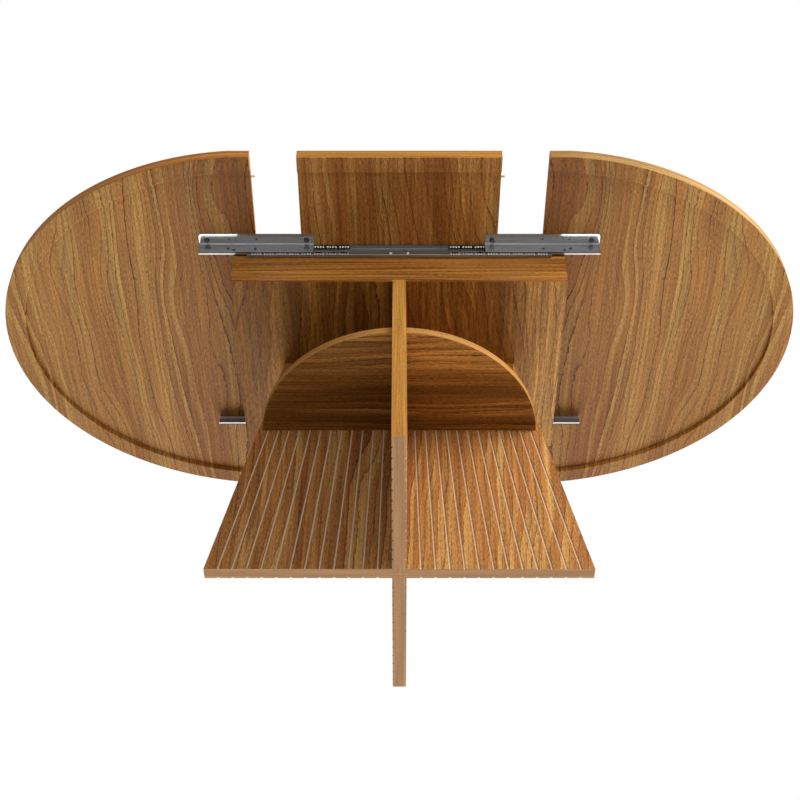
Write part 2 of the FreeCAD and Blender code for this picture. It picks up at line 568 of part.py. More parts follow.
# Slide runners, their angle brackets and the ball cages between runner and rail
def brackets():
    """Brackets, runners, rivets and screws of both tops; gives back the screw holes in the boards."""
    inner = f"-{BRACKET_INNER}"
    outer = f"-{BRACKET_OUTER}"
    wall_back = f"-{RUNNER_FRONT}"
    wall_front = f"-{BRACKET_FRONT}"
    wall_foot = f"({UNDERSIDE} - dims.bracket_wall)"
    flange_edge = f"-({RUNNER_FRONT} + dims.bracket_flange)"
    flange_under = f"({UNDERSIDE} - dims.bracket_sheet)"
    angle = prism(
        "bracket_angle", "YZ_Plane",
        [(wall_back, wall_foot), (wall_back, UNDERSIDE), (flange_edge, UNDERSIDE),
         (flange_edge, flange_under), (wall_front, flange_under), (wall_front, wall_foot)],
        outer, "dims.bracket_length")
    bent = rounded("bracket_bent", angle, [
        ({"Y": wall_back, "Z": UNDERSIDE}, "dims.bracket_bend + dims.bracket_sheet"),
        ({"Y": wall_front, "Z": flange_under}, "dims.bracket_bend"),
        ({"X": outer, "Y": flange_edge}, "dims.bracket_corner"),
        ({"X": inner, "Y": flange_edge}, "dims.bracket_corner")])

    screws = []
    holes = []
    pilots = []
    line = f"-({BRACKET_FRONT} + dims.screw_line)"
    head_floor = f"({flange_under} - dims.pan_head_height)"
    head_size = ("dims.pan_head_radius", "dims.pan_head_height")
    places = {
        "top": (f"{outer} + dims.bracket_screw_inset", "dims.screw_length"),
        "leaf": (f"{inner} - dims.leaf_screw_inset", "dims.bracket_sheet")}
    for name, (x, length) in places.items():
        head = rod(f"{name}_screw_head", (x, line, head_floor), *head_size)
        stem = rod(f"{name}_screw_stem", (x, line, flange_under), "dims.screw_radius", length)
        blank = fuse(f"{name}_screw_blank", [head, stem])
        screws.append(rounded(f"{name}_screw", blank, [({"Z": head_floor}, "dims.pan_head_round")]))
        bore = rod(f"{name}_screw_bore", (x, line, flange_under), SCREW_BORE, length)
        holes.append(bore)
        if name == "top":
            pilots.append(bore)

    web_back = f"-({RUNNER_FRONT} - dims.slide_sheet)"
    rivets = []
    head_front = f"-({BRACKET_FRONT} + dims.rivet_head_height)"
    head_round = [({"Y": head_front}, "dims.rivet_head_round")]
    spots = ((0.257, "dims.rivet_drop"), (0.308, "dims.low_rivet_drop"), (0.494, "dims.rivet_drop"))
    for index, (length_share, drop) in enumerate(spots):
        x = f"{outer} + dims.bracket_length * {length_share}"
        through = "dims.slide_sheet + dims.bracket_sheet"
        start = (x, f"-{BRACKET_FRONT}", f"{UNDERSIDE} - {drop}")
        stem = rod(f"rivet_stem_{index}", start, "dims.rivet_radius", through, ALONG_Y)
        head = rod(
            f"rivet_head_{index}", (x, head_front, f"{UNDERSIDE} - {drop}"),
            "dims.rivet_head_radius", "dims.rivet_head_height", ALONG_Y)
        rivets.append(rounded(f"rivet_{index}", fuse(f"rivet_blank_{index}", [stem, head]), head_round))
        bore_radius = "dims.rivet_radius + dims.fit_play"
        holes.append(rod(f"rivet_hole_{index}", start, bore_radius, through, ALONG_Y))
    hole_group = group("bracket_holes", holes)

    flange_back = f"-({RUNNER_FRONT} - dims.runner_depth)"
    front = f"-{RUNNER_FRONT}"
    low = f"({RUNNER_BOTTOM} + dims.slide_sheet)"
    high = f"({RUNNER_TOP} - dims.slide_sheet)"
    runner = prism(
        "runner_blank", "YZ_Plane",
        [(front, RUNNER_BOTTOM), (front, RUNNER_TOP), (flange_back, RUNNER_TOP), (flange_back, high),
         (web_back, high), (web_back, low), (flange_back, low), (flange_back, RUNNER_BOTTOM)],
        outer, "dims.bracket_length")
    outer_bend = "dims.slide_sheet + dims.slide_bend"
    rolled = rounded("runner_rolled", runner, [
        ({"Y": front, "Z": RUNNER_BOTTOM}, outer_bend), ({"Y": web_back, "Z": low}, "dims.slide_bend"),
        ({"Y": front, "Z": RUNNER_TOP}, outer_bend), ({"Y": web_back, "Z": high}, "dims.slide_bend")])

    bracket = cut("left_near_bracket", bent, [hole_group])
    channel = cut("left_near_runner", rolled, [hole_group])
    for kind, piece in (("bracket", bracket), ("runner", channel)):
        four_corners(kind, piece)
    for kind, pieces in (("bracket_screws", screws), ("rivets", rivets)):
        near = group(f"{kind}_near", pieces)
        left = group(f"left_{kind}", [near, mirror(f"{kind}_far", near, NORMAL_Y)])
        node(f"left_{kind}", left)
        node(f"right_{kind}", mirror(f"right_{kind}", left, NORMAL_X))
    ball_cages()
    near_pilots = group("pilots_near", pilots)
    left_pilots = group("pilots_left", [near_pilots, mirror("pilots_far", near_pilots, NORMAL_Y)])
    return {"left": left_pilots, "right": mirror("pilots_right", left_pilots, NORMAL_X)}


def four_corners(kind, piece):
    """One piece of the near left slide, repeated on the other three slides as separate sub-parts."""
    node(f"left_near_{kind}", piece)
    far = node(f"left_far_{kind}", mirror(f"left_far_{kind}", piece, NORMAL_Y))
    node(f"right_near_{kind}", mirror(f"right_near_{kind}", piece, NORMAL_X))
    node(f"right_far_{kind}", mirror(f"right_far_{kind}", far, NORMAL_X))


def ball_cages():
    """Sheet cages that ride between rail and runner, with balls in groups above and below long slots."""
    back = f"-({BEAM_FACE} + dims.slide_sheet + dims.cage_gap)"
    web = f"-({BEAM_FACE} + dims.slide_sheet + dims.cage_gap + dims.cage_sheet)"
    tip = f"-({BEAM_FACE} + dims.slide_sheet + dims.cage_gap + dims.cage_depth)"
    low = f"({BALL_ROW} - dims.cage_sheet / 2)"
    low_in = f"({BALL_ROW} + dims.cage_sheet / 2)"
    high = f"({RAIL_TOP} + {RAIL_BOTTOM} - {low})"
    high_in = f"({RAIL_TOP} + {RAIL_BOTTOM} - {low_in})"
    start = f"-{CAGE_OUTER}"
    blank = prism(
        "cage_blank", "YZ_Plane",
        [(back, low), (back, high), (tip, high), (tip, high_in),
         (web, high_in), (web, low_in), (tip, low_in), (tip, low)],
        start, "dims.cage_length")
    balls = []
    holes = []
    count = int(size("balls_in_group"))
    rows = {"low": BALL_ROW, "high": f"{RAIL_TOP} + {RAIL_BOTTOM} - {BALL_ROW}"}
    for part in range(int(size("ball_groups"))):
        middle = f"{start} + dims.cage_length * ({part} + 1 / 2) / dims.ball_groups"
        slot_corner = (
            f"{middle} - dims.cage_slot_length / 2", web, f"{RAIL_MIDDLE} - dims.cage_slot_height / 2")
        slot_size = ("dims.cage_slot_length", "dims.cage_sheet", "dims.cage_slot_height")
        holes.append(block(f"cage_slot_{part}", slot_corner, slot_size))
        for index in range(count):
            x = f"{middle} + {BALL_PITCH} * ({index} - (dims.balls_in_group - 1) / 2)"
            for row, z in rows.items():
                ball = doc.addObject("Part::Sphere", f"ball_{row}_{part}_{index}")
                ball.setExpression("Radius", "dims.ball_radius")
                balls.append(place(ball, x, f"-{BALL_LINE}", z))
            hole_foot = (x, f"-{BALL_LINE}", RAIL_BOTTOM)
            hole_radius = "dims.ball_radius + dims.ball_play"
            holes.append(rod(f"ball_hole_{part}_{index}", hole_foot, hole_radius, "dims.rail_height"))
    four_corners("cage", cut("left_near_cage", blank, holes))
    four_corners("balls", group("left_near_balls", balls))


# Butterfly leaf: two boards that fold up face to face about barrel hinges let into their inner edges
def leaf():
    """Near and far leaf boards, end rims, pins, hinge barrels and links."""
    board = block(
        "leaf_blank_near", (f"-{LEAF_EDGE}", "-dims.leaf_half_depth", UNDERSIDE),
        ("dims.leaf_width", "dims.leaf_half_depth", "dims.board_thickness"))
    end = "-dims.leaf_half_depth"
    board = rounded("leaf_eased_near", board, [({"Y": end, "Z": "dims.table_height"}, "dims.edge_ease")])
    boards = {"near": board, "far": mirror("leaf_eased_far", board, NORMAL_Y)}
    strip = block(
        "leaf_strip", (f"-{LEAF_EDGE}", end, RIM_BOTTOM),
        ("dims.leaf_width", "dims.rim_side_width", "dims.rim_drop"))
    inner_end = f"({end} + dims.rim_side_width)"
    rim = rounded("near_leaf_rim", strip, [
        ({"Y": end, "Z": RIM_BOTTOM}, "dims.edge_ease"), ({"Y": inner_end, "Z": RIM_BOTTOM}, "dims.edge_ease")])
    node("near_leaf_rim", rim)
    node("far_leaf_rim", mirror("far_leaf_rim", rim, NORMAL_Y))

    barrels = []
    bores = []
    links = []
    axis_height = "dims.table_height + dims.fold_lift"
    for name, x in (("left", "-dims.barrel_offset"), ("right", "dims.barrel_offset")):
        start = (x, "-dims.barrel_length", EDGE_MIDDLE)
        barrel = rod(f"{name}_barrel_blank", start, "dims.barrel_radius", "dims.barrel_length", ALONG_Y)
        slot_side = f"{x} - dims.barrel_slot_width / 2"
        slot_foot = f"{EDGE_MIDDLE} - dims.barrel_radius"
        slot = block(
            f"{name}_barrel_slot", (slot_side, "-dims.barrel_slot_depth", slot_foot),
            ("dims.barrel_slot_width", "dims.barrel_slot_depth", "2 * dims.barrel_radius"))
        barrels.append(cut(f"{name}_barrel", barrel, [slot]))
        bore_radius = "dims.barrel_radius + dims.fit_play"
        bores.append(rod(f"{name}_barrel_bore", start, bore_radius, "dims.barrel_length", ALONG_Y))
        links.append(hinge_link(f"{name}_link", f"{x} - dims.link_thickness / 2", axis_height))
    near_barrels = node("near_hinge_barrels", group("near_hinge_barrels", barrels))
    node("far_hinge_barrels", mirror("far_hinge_barrels", near_barrels, NORMAL_Y))
    node("hinge_links", group("hinge_links", links))
    near_bores = group("barrel_bores_near", bores)
    all_bores = {"near": near_bores, "far": mirror("barrel_bores_far", near_bores, NORMAL_Y)}

    sockets = edge_holes("leaf_socket", f"-{LEAF_EDGE}", "", "dims.pin_radius + dims.socket_play")
    pin_holes = edge_holes("leaf_pin_hole", LEAF_EDGE, "-", "dims.pin_radius + dims.fit_play")
    pins = edge_pins("leaf_pin", LEAF_EDGE)
    for row in ("near", "far"):
        holes = [sockets[row], pin_holes[row], all_bores[row]]
        node(f"{row}_leaf_panel", cut(f"{row}_leaf_panel", boards[row], holes))
        node(f"{row}_leaf_pin", pins[row])


def hinge_link(name, x, z):
    """Curved link of a barrel hinge, an arc about the fold line that reaches into both barrels."""
    arc = rod(f"{name}_arc", (x, "0", z), "dims.link_outer_radius", "dims.link_thickness", ALONG_X)
    arc.setExpression("Angle", "dims.link_span_degrees")
    # The arc starts at local +X, which the turn points down; it is swung back by half its span
    swing = FreeCAD.Rotation(NORMAL_X, -size("link_span_degrees") / 2)
    arc.Placement.Rotation = swing.multiply(ALONG_X)
    core = rod(f"{name}_core", (x, "0", z), "dims.link_inner_radius", "dims.link_thickness", ALONG_X)
    return cut(name, arc, [core])


pedestal()
half_tops()
leaf()
doc.recompute()

for item in doc.Objects:
    if "Invalid" in item.State or "Error" in item.State:
        raise RuntimeError(f"{item.Name} did not build: {item.State}")
for name, piece in NODES.items():
    shape = piece.Shape
    if shape.isNull() or not shape.isValid() or not shape.Solids:
        raise RuntimeError(f"{name} has no sound solid")

os.makedirs("parts", exist_ok=True)
for name, piece in NODES.items():
    piece.Shape.exportStep(f"parts/{name}.step")
print(f"{len(NODES)} sub-parts written")
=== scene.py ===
import math

import bmesh
import bpy
import mathutils
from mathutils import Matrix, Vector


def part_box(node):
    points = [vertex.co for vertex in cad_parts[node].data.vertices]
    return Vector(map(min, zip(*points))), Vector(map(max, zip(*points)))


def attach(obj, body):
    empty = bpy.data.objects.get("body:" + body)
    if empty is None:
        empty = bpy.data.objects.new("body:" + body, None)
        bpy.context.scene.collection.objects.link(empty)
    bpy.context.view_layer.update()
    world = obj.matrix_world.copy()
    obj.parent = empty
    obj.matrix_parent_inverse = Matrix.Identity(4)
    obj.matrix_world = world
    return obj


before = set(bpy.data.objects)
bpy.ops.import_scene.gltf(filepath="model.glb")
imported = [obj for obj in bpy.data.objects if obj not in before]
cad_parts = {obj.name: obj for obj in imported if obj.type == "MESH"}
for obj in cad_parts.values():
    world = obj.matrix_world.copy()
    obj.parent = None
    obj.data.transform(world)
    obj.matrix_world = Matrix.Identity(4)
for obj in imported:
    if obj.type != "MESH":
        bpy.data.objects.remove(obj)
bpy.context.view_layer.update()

# Pedestal: a spine panel that runs fore and aft and two wings butted to it, of veneered 30 mm board.
# The grain runs up the panels, and pale flutes are routed down both faces, fanning with the taper.
# Golden edge strip covers the sloping ends; the ends on the floor show the paler bare board.
PANEL_NODES = ("spine_panel", "left_wing_panel", "right_wing_panel")
PANEL_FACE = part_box("spine_panel")[1][0]
FOOT_HALF_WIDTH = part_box("spine_panel")[1][1]
PEDESTAL_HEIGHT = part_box("carrier_board")[0][2]
HEAD_HALF_WIDTH = 0.2712
FLUTE_COUNT = 12
FLUTE_START = 0.045
FLUTE_PITCH = 0.030
FLUTE_RADIUS = 0.0025
FACE_SKIN = 0.0002

PANEL_LIGHT = (0.426, 0.222, 0.062)
PANEL_MIDDLE = (0.328, 0.132, 0.030)
PANEL_DARK = (0.203, 0.065, 0.014)
PANEL_LINE = (0.109, 0.031, 0.013)
PANEL_COLOURS = (PANEL_LIGHT, PANEL_MIDDLE, PANEL_DARK, PANEL_LINE)
PANEL_FIGURE = {"band_width": 0.014, "wander": 0.20, "seed": 46.9, "fibre": 1.2}
EDGE_LIGHT = (0.418, 0.203, 0.041)
EDGE_MIDDLE = (0.363, 0.162, 0.026)
EDGE_DARK = (0.291, 0.112, 0.015)
EDGE_LINE = (0.227, 0.076, 0.009)
EDGE_COLOURS = (EDGE_LIGHT, EDGE_MIDDLE, EDGE_DARK, EDGE_LINE)
EDGE_FIGURE = {"band_width": 0.006, "wander": 0.004, "seed": 7.4, "stipple": 0.4}
BARE_LIGHT = (0.441, 0.227, 0.092)
BARE_MIDDLE = (0.390, 0.192, 0.071)
BARE_DARK = (0.322, 0.149, 0.051)
BARE_LINE = (0.271, 0.113, 0.038)
BARE_COLOURS = (BARE_LIGHT, BARE_MIDDLE, BARE_DARK, BARE_LINE)
BARE_FIGURE = {"band_width": 0.006, "wander": 0.004, "seed": 5.2, "fibre": 0.8, "stipple": 0.2}
FLUTE_PALE = (0.62, 0.450, 0.300)
FLUTE_COVER_SHARE = 0.95
FLUTE_EDGE_SHARE = 0.85
FLUTE_FLOOR_SHARE = 0.55


def feed(tree, socket, source):
    """Links a socket to another one, or sets it to a plain value."""
    if isinstance(source, bpy.types.NodeSocket):
        tree.links.new(source, socket)
    elif isinstance(source, tuple) and socket.type == "RGBA":
        socket.default_value = (*source, 1.0)
    else:
        socket.default_value = source


def calc(tree, operation, *terms):
    """Result of one Math node."""
    step = tree.nodes.new("ShaderNodeMath")
    step.operation = operation
    for socket, term in zip(step.inputs, terms):
        feed(tree, socket, term)
    return step.outputs["Value"]


def ramp(tree, value, low, high):
    """Smooth step of a value, from 0 at low to 1 at high."""
    step = tree.nodes.new("ShaderNodeMapRange")
    step.interpolation_type = "SMOOTHSTEP"
    feed(tree, step.inputs["Value"], value)
    feed(tree, step.inputs["From Min"], low)
    feed(tree, step.inputs["From Max"], high)
    return step.outputs["Result"]


MIX_FIRST = 6
MIX_SECOND = 7
MIX_RESULT = 2


def mix(tree, share, first, second, blend="MIX"):
    """Colour between a first colour and, by a share, the second, or the blend of both."""
    step = tree.nodes.new("ShaderNodeMix")
    step.data_type = "RGBA"
    step.blend_type = blend
    feed(tree, step.inputs["Factor"], share)
    feed(tree, step.inputs[MIX_FIRST], first)
    feed(tree, step.inputs[MIX_SECOND], second)
    return step.outputs[MIX_RESULT]


def point(tree, x, y, z):
    """Vector from three values."""
    step = tree.nodes.new("ShaderNodeCombineXYZ")
    for socket, part in zip(step.inputs, (x, y, z)):
        feed(tree, socket, part)
    return step.outputs["Vector"]


def parts(tree, vector):
    """The three values of a vector."""
    step = tree.nodes.new("ShaderNodeSeparateXYZ")
    tree.links.new(vector, step.inputs["Vector"])
    return tuple(step.outputs)


def shaded(tree, colour, share):
    """Colour made lighter or darker by a share."""
    step = tree.nodes.new("ShaderNodeVectorMath")
    step.operation = "SCALE"
    feed(tree, step.inputs[0], colour)
    feed(tree, step.inputs["Scale"], share)
    return step.outputs["Vector"]


def tinted(tree, share, colour, tint):
    """Colour that goes, by a share, to itself times a tint; the tint is a stain of the wood in some uses
    and painted light in others.
    """
    return mix(tree, share, colour, tint, "MULTIPLY")


def cloud(tree, vector, detail=2.0):
    """Soft noise from 0 to 1 with cells of unit size."""
    step = tree.nodes.new("ShaderNodeTexNoise")
    tree.links.new(vector, step.inputs["Vector"])
    step.inputs["Scale"].default_value = 1.0
    step.inputs["Detail"].default_value = detail
    return step.outputs["Fac"]


def chance(tree, value):
    """Random number from 0 to 1 for each whole value."""
    step = tree.nodes.new("ShaderNodeTexWhiteNoise")
    step.noise_dimensions = "1D"
    feed(tree, step.inputs["W"], value)
    return step.outputs["Value"]


WANDER_SCALES = (3.2, 1.2, 0.4)
RIPPLE_SCALES = (16.0, 3.4, 2.0)
RIPPLE_SHIFT = 0.018
FRAY_SCALES = (170.0, 45.0, 30.0)
FRAY_SHIFT = 0.006
FINE_DETAIL = 3.0
UNEVEN_SCALE = 14.0
UNEVEN_BANDS = 4.0
WEIGHT_OFFSET = 0.37
WEIGHT_POWER = 1.3
LEAST_WEIGHT_SHARE = 0.2
STREAK_SCALES = (30.0, 0.8, 0.4)
STREAK_SHARE = 0.8
ZONE_SCALES = (9.0, 0.6, 0.4)
ZONE_REACH = 0.24
ZONING_SHARE = 0.48
TONE_SHARE = 0.5
LATE_START_SHARE = 0.45
LATE_SHARE = 0.60
LINE_START_SHARE = 0.80
LINE_FULL_SHARE = 0.95
LINE_FADE_SHARE = 0.98
PALE_END_SHARE = 0.14
PALE_GAIN = 0.22
FIBRE_SCALES = (160.0, 3.0, 60.0)
STIPPLE_SCALES = (420.0, 100.0, 110.0)
STIPPLE_DETAIL = 1.0
LINE_BREAK = 1.2
MIDDLE_LIGHTNESS = 0.48
HIGH_LIGHTNESS = 0.78
LOW_LIGHTNESS = 0.12
DARK_COVER_SHARE = 0.75
GRAIN_GAIN = 1.4
WOOD_ROUGH = 0.54
FIBRE_ROUGH = 0.18
STIPPLE_ROUGH = 0.20
FIBRE_RELIEF = 0.5


def make_veneer_figure():
    """Figure of sliced veneer, from a place given as (across the grain, along it, depth) in metres.

    The place across is shifted by slow noise that is drawn out along the grain, so that growth bands
    wander and close into arches, and by fine noise that frays them. It is divided by the band width and
    made uneven by noise: the whole part numbers the band, and the rest is the rise across it. Each band
    has a random tone and weight. Lightness is a half, plus the zoning times a broad zone less a half,
    plus a share of the tone less a half, and it mixes the light, middle and dark colours. A band darkens
    over its late part to a thin line at its end, by its weight, where stipple breaks the line, and it
    starts a little paler. Fibres and stipple are fine noise, drawn out along the grain, which shift the
    brightness, the roughness and the height.
    """
    group = bpy.data.node_groups.new("veneer_figure", "ShaderNodeTree")
    sockets = group.interface
    sockets.new_socket("Place", in_out="INPUT", socket_type="NodeSocketVector")
    for name in ("Light", "Middle", "Dark", "Line"):
        sockets.new_socket(name, in_out="INPUT", socket_type="NodeSocketColor")
    for name in ("Band Width", "Wander", "Seed", "Fibre", "Stipple", "Zoning"):
        sockets.new_socket(name, in_out="INPUT", socket_type="NodeSocketFloat")
    sockets.new_socket("Color", in_out="OUTPUT", socket_type="NodeSocketColor")
    for name in ("Roughness", "Height"):
        sockets.new_socket(name, in_out="OUTPUT", socket_type="NodeSocketFloat")
    given = group.nodes.new("NodeGroupInput").outputs
    result = group.nodes.new("NodeGroupOutput").inputs
    across, along, depth = parts(group, given["Place"])
    seed = given["Seed"]

    def drawn_out(across_scale, along_scale, depth_scale, detail=2.0):
        """Noise drawn out along the grain, less its middle value."""
        place = point(
            group,
            calc(group, "MULTIPLY_ADD", across, across_scale, seed),
            calc(group, "MULTIPLY_ADD", along, along_scale, seed),
            calc(group, "MULTIPLY", depth, depth_scale))
        return calc(group, "SUBTRACT", cloud(group, place, detail), 0.5)

    slow = calc(group, "MULTIPLY", drawn_out(*WANDER_SCALES), given["Wander"])
    ripple = calc(group, "MULTIPLY", drawn_out(*RIPPLE_SCALES), RIPPLE_SHIFT)
    fray = calc(group, "MULTIPLY", drawn_out(*FRAY_SCALES, FINE_DETAIL), FRAY_SHIFT)
    shifted = calc(group, "ADD", across, calc(group, "ADD", slow, calc(group, "ADD", ripple, fray)))
    uneven_place = calc(group, "MULTIPLY_ADD", shifted, UNEVEN_SCALE, seed)
    uneven = cloud(group, point(group, uneven_place, seed, 0.0))
    bands = calc(group, "DIVIDE", shifted, given["Band Width"])
    bands = calc(group, "MULTIPLY_ADD", uneven, UNEVEN_BANDS, bands)
    number = calc(group, "ADD", calc(group, "FLOOR", bands), seed)
    rise = calc(group, "FRACT", bands)
    tone = chance(group, number)
    weight = calc(group, "POWER", chance(group, calc(group, "ADD", number, WEIGHT_OFFSET)), WEIGHT_POWER)
    weight = calc(group, "MULTIPLY_ADD", weight, 1.0 - LEAST_WEIGHT_SHARE, LEAST_WEIGHT_SHARE)

    streak = calc(group, "MULTIPLY", drawn_out(*STREAK_SCALES), STREAK_SHARE)
    zone = ramp(group, calc(group, "ADD", drawn_out(*ZONE_SCALES), streak), -ZONE_REACH, ZONE_REACH)
    zoned = calc(group, "MULTIPLY_ADD", calc(group, "SUBTRACT", zone, 0.5), given["Zoning"], 0.5)
    lightness = calc(group, "MULTIPLY_ADD", calc(group, "SUBTRACT", tone, 0.5), TONE_SHARE, zoned)
    late_weight = calc(group, "MULTIPLY", weight, LATE_SHARE)
    late = calc(group, "MULTIPLY", ramp(group, rise, LATE_START_SHARE, 1.0), late_weight)
    line_start = ramp(group, rise, LINE_START_SHARE, LINE_FULL_SHARE)
    line = calc(group, "MULTIPLY", line_start, ramp(group, rise, 1.0, LINE_FADE_SHARE))
    pale = calc(group, "MULTIPLY", ramp(group, rise, PALE_END_SHARE, 0.0), weight)
    fibre = calc(group, "MULTIPLY", drawn_out(*FIBRE_SCALES, FINE_DETAIL), given["Fibre"])
    stipple = calc(group, "MULTIPLY", drawn_out(*STIPPLE_SCALES, STIPPLE_DETAIL), given["Stipple"])
    dotted = calc(group, "MULTIPLY_ADD", stipple, -LINE_BREAK, 1.0)
    line = calc(group, "MULTIPLY", calc(group, "MULTIPLY", line, weight), dotted)

    light_share = ramp(group, lightness, MIDDLE_LIGHTNESS, HIGH_LIGHTNESS)
    colour = mix(group, light_share, given["Middle"], given["Light"])
    dark_share = calc(group, "ADD", ramp(group, lightness, MIDDLE_LIGHTNESS, LOW_LIGHTNESS), late)
    colour = mix(group, calc(group, "MULTIPLY", dark_share, DARK_COVER_SHARE), colour, given["Dark"])
    colour = mix(group, line, colour, given["Line"])
    grain = calc(group, "MULTIPLY_ADD", fibre, GRAIN_GAIN, calc(group, "MULTIPLY", stipple, GRAIN_GAIN))
    grain = calc(group, "ADD", grain, calc(group, "MULTIPLY", pale, PALE_GAIN))
    group.links.new(shaded(group, colour, calc(group, "ADD", grain, 1.0)), result["Color"])
    gloss = calc(group, "MULTIPLY_ADD", fibre, FIBRE_ROUGH, WOOD_ROUGH)
    group.links.new(calc(group, "MULTIPLY_ADD", stipple, -STIPPLE_ROUGH, gloss), result["Roughness"])
    relief = calc(group, "ADD", calc(group, "MULTIPLY", fibre, FIBRE_RELIEF), stipple)
    group.links.new(calc(group, "SUBTRACT", relief, line), result["Height"])
    return group


veneer_figure = make_veneer_figure()


def new_material(name):
    """Empty node material with its Principled shader."""
    material = bpy.data.materials.new(name)
    material.use_nodes = True
    return material, material.node_tree, material.node_tree.nodes["Principled BSDF"]


def surface(tree):
    """Object coordinates and the facing of the surface, each as three values."""
    coordinates = tree.nodes.new("ShaderNodeTexCoord")
    return parts(tree, coordinates.outputs["Object"]), parts(tree, coordinates.outputs["Normal"])


def veneer(tree, place, colours, band_width, wander, seed, fibre=1.0, stipple=1.0, zoning=ZONING_SHARE):
    """Veneer figure at a place, with its own colours, scale and strength of fibres, stipple and zones."""
    step = tree.nodes.new("ShaderNodeGroup")
    step.node_tree = veneer_figure
    feed(tree, step.inputs["Place"], place)
    for name, colour in zip(("Light", "Middle", "Dark", "Line"), colours):
        feed(tree, step.inputs[name], colour)
    feed(tree, step.inputs["Band Width"], band_width)
    feed(tree, step.inputs["Wander"], wander)
    feed(tree, step.inputs["Seed"], seed)
    feed(tree, step.inputs["Fibre"], fibre)
    feed(tree, step.inputs["Stipple"], stipple)
    feed(tree, step.inputs["Zoning"], zoning)
    return step.outputs


LACQUER_BUMP_SHARE = 0.18
LACQUER_BUMP_HEIGHT = 0.0004
LACQUER_SPECULAR = 0.15


def satin(tree, shader, colour, roughness, height):
    """Satin lacquer over a colour, with its fine relief as a bump."""
    bump = tree.nodes.new("ShaderNodeBump")
    bump.inputs["Strength"].default_value = LACQUER_BUMP_SHARE
    bump.inputs["Distance"].default_value = LACQUER_BUMP_HEIGHT
    tree.links.new(height, bump.inputs["Height"])
    tree.links.new(bump.outputs["Normal"], shader.inputs["Normal"])
    tree.links.new(colour, shader.inputs["Base Color"])
    tree.links.new(roughness, shader.inputs["Roughness"])
    shader.inputs["Specular IOR Level"].default_value = LACQUER_SPECULAR


def paint(material, names):
    """Gives CAD sub-parts a material."""
    for name in names:
        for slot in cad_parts[name].material_slots:
            slot.material = material


FACING_START_SHARE = 0.55
FACING_FULL_SHARE = 0.75


def facing(tree, value):
    """1 where the surface faces along an axis, either way: smooth step of the size of its facing."""
    return ramp(tree, calc(tree, "ABSOLUTE", value), FACING_START_SHARE, FACING_FULL_SHARE)


panel_wood, tree, shader = new_material("fluted_panel_wood")
(x, y, z), (face_x, face_y, face_z) = surface(tree)
reach = calc(tree, "MAXIMUM", calc(tree, "ABSOLUTE", x), calc(tree, "ABSOLUTE", y))
off_middle = calc(tree, "MINIMUM", calc(tree, "ABSOLUTE", x), calc(tree, "ABSOLUTE", y))
on_wing = calc(tree, "GREATER_THAN", calc(tree, "ABSOLUTE", x), calc(tree, "ABSOLUTE", y))
through = calc(tree, "MULTIPLY_ADD", on_wing, calc(tree, "SUBTRACT", y, x), x)
face = veneer(tree, point(tree, calc(tree, "ADD", x, y), z, 0.0), PANEL_COLOURS, **PANEL_FIGURE)
strip = veneer(tree, point(tree, through, z, 0.0), EDGE_COLOURS, **EDGE_FIGURE)
bare = veneer(tree, point(tree, through, reach, 0.0), BARE_COLOURS, **BARE_FIGURE)
taper = (FOOT_HALF_WIDTH - HEAD_HALF_WIDTH) / FOOT_HALF_WIDTH / PEDESTAL_HEIGHT
narrowing = calc(tree, "MULTIPLY_ADD", z, -taper, 1.0)
foot_reach = calc(tree, "DIVIDE", reach, narrowing)
flute = calc(tree, "DIVIDE", calc(tree, "SUBTRACT", foot_reach, FLUTE_START), FLUTE_PITCH)
from_flute = calc(tree, "ABSOLUTE", calc(tree, "SUBTRACT", flute, calc(tree, "ROUND", flute)))
from_flute = calc(tree, "MULTIPLY", calc(tree, "MULTIPLY", from_flute, FLUTE_PITCH), narrowing)
in_flute = ramp(tree, from_flute, FLUTE_RADIUS * FLUTE_EDGE_SHARE, FLUTE_RADIUS * FLUTE_FLOOR_SHARE)
in_flute = calc(tree, "MULTIPLY", in_flute, calc(tree, "GREATER_THAN", reach, FLUTE_START / 2))
in_flute = calc(tree, "MULTIPLY", in_flute, calc(tree, "LESS_THAN", flute, FLUTE_COUNT - 0.5))
on_floor = facing(tree, face_z)
in_flute = calc(tree, "MULTIPLY", in_flute, calc(tree, "LESS_THAN", off_middle, PANEL_FACE - FACE_SKIN))
in_flute = calc(tree, "MULTIPLY", in_flute, calc(tree, "SUBTRACT", 1.0, on_floor))
on_end = calc(tree, "GREATER_THAN", foot_reach, FOOT_HALF_WIDTH - FACE_SKIN)
colour = mix(tree, on_end, face["Color"], strip["Color"])
colour = mix(tree, on_floor, colour, bare["Color"])
flute_share = calc(tree, "MULTIPLY", in_flute, FLUTE_COVER_SHARE)
colour = mix(tree, flute_share, colour, FLUTE_PALE)
satin(tree, shader, colour, face["Roughness"], face["Height"])
paint(panel_wood, PANEL_NODES)

# Dowels inside the joints: turned beech pegs, glued into drilled holes between wings and spine, shelves
# and spine, and beams and tray, so that nothing of them shows.
DOWEL_NODES = ("wing_dowels", "shelf_dowels", "beam_dowels")
BEECH_LIGHT = (0.72, 0.52, 0.33)
BEECH_MIDDLE = (0.66, 0.45, 0.27)
BEECH_DARK = (0.56, 0.36, 0.20)
BEECH_LINE = (0.48, 0.29, 0.15)
BEECH_COLOURS = (BEECH_LIGHT, BEECH_MIDDLE, BEECH_DARK, BEECH_LINE)
BEECH_FIGURE = {"band_width": 0.002, "wander": 0.001, "seed": 2.2}

dowel_wood, tree, shader = new_material("dowel_beech")
(x, y, z), _ = surface(tree)
grain = veneer(tree, point(tree, y, calc(tree, "ADD", x, z), 0.0), BEECH_COLOURS, **BEECH_FIGURE)
satin(tree, shader, grain["Color"], grain["Roughness"], grain["Height"])
paint(dowel_wood, DOWEL_NODES)

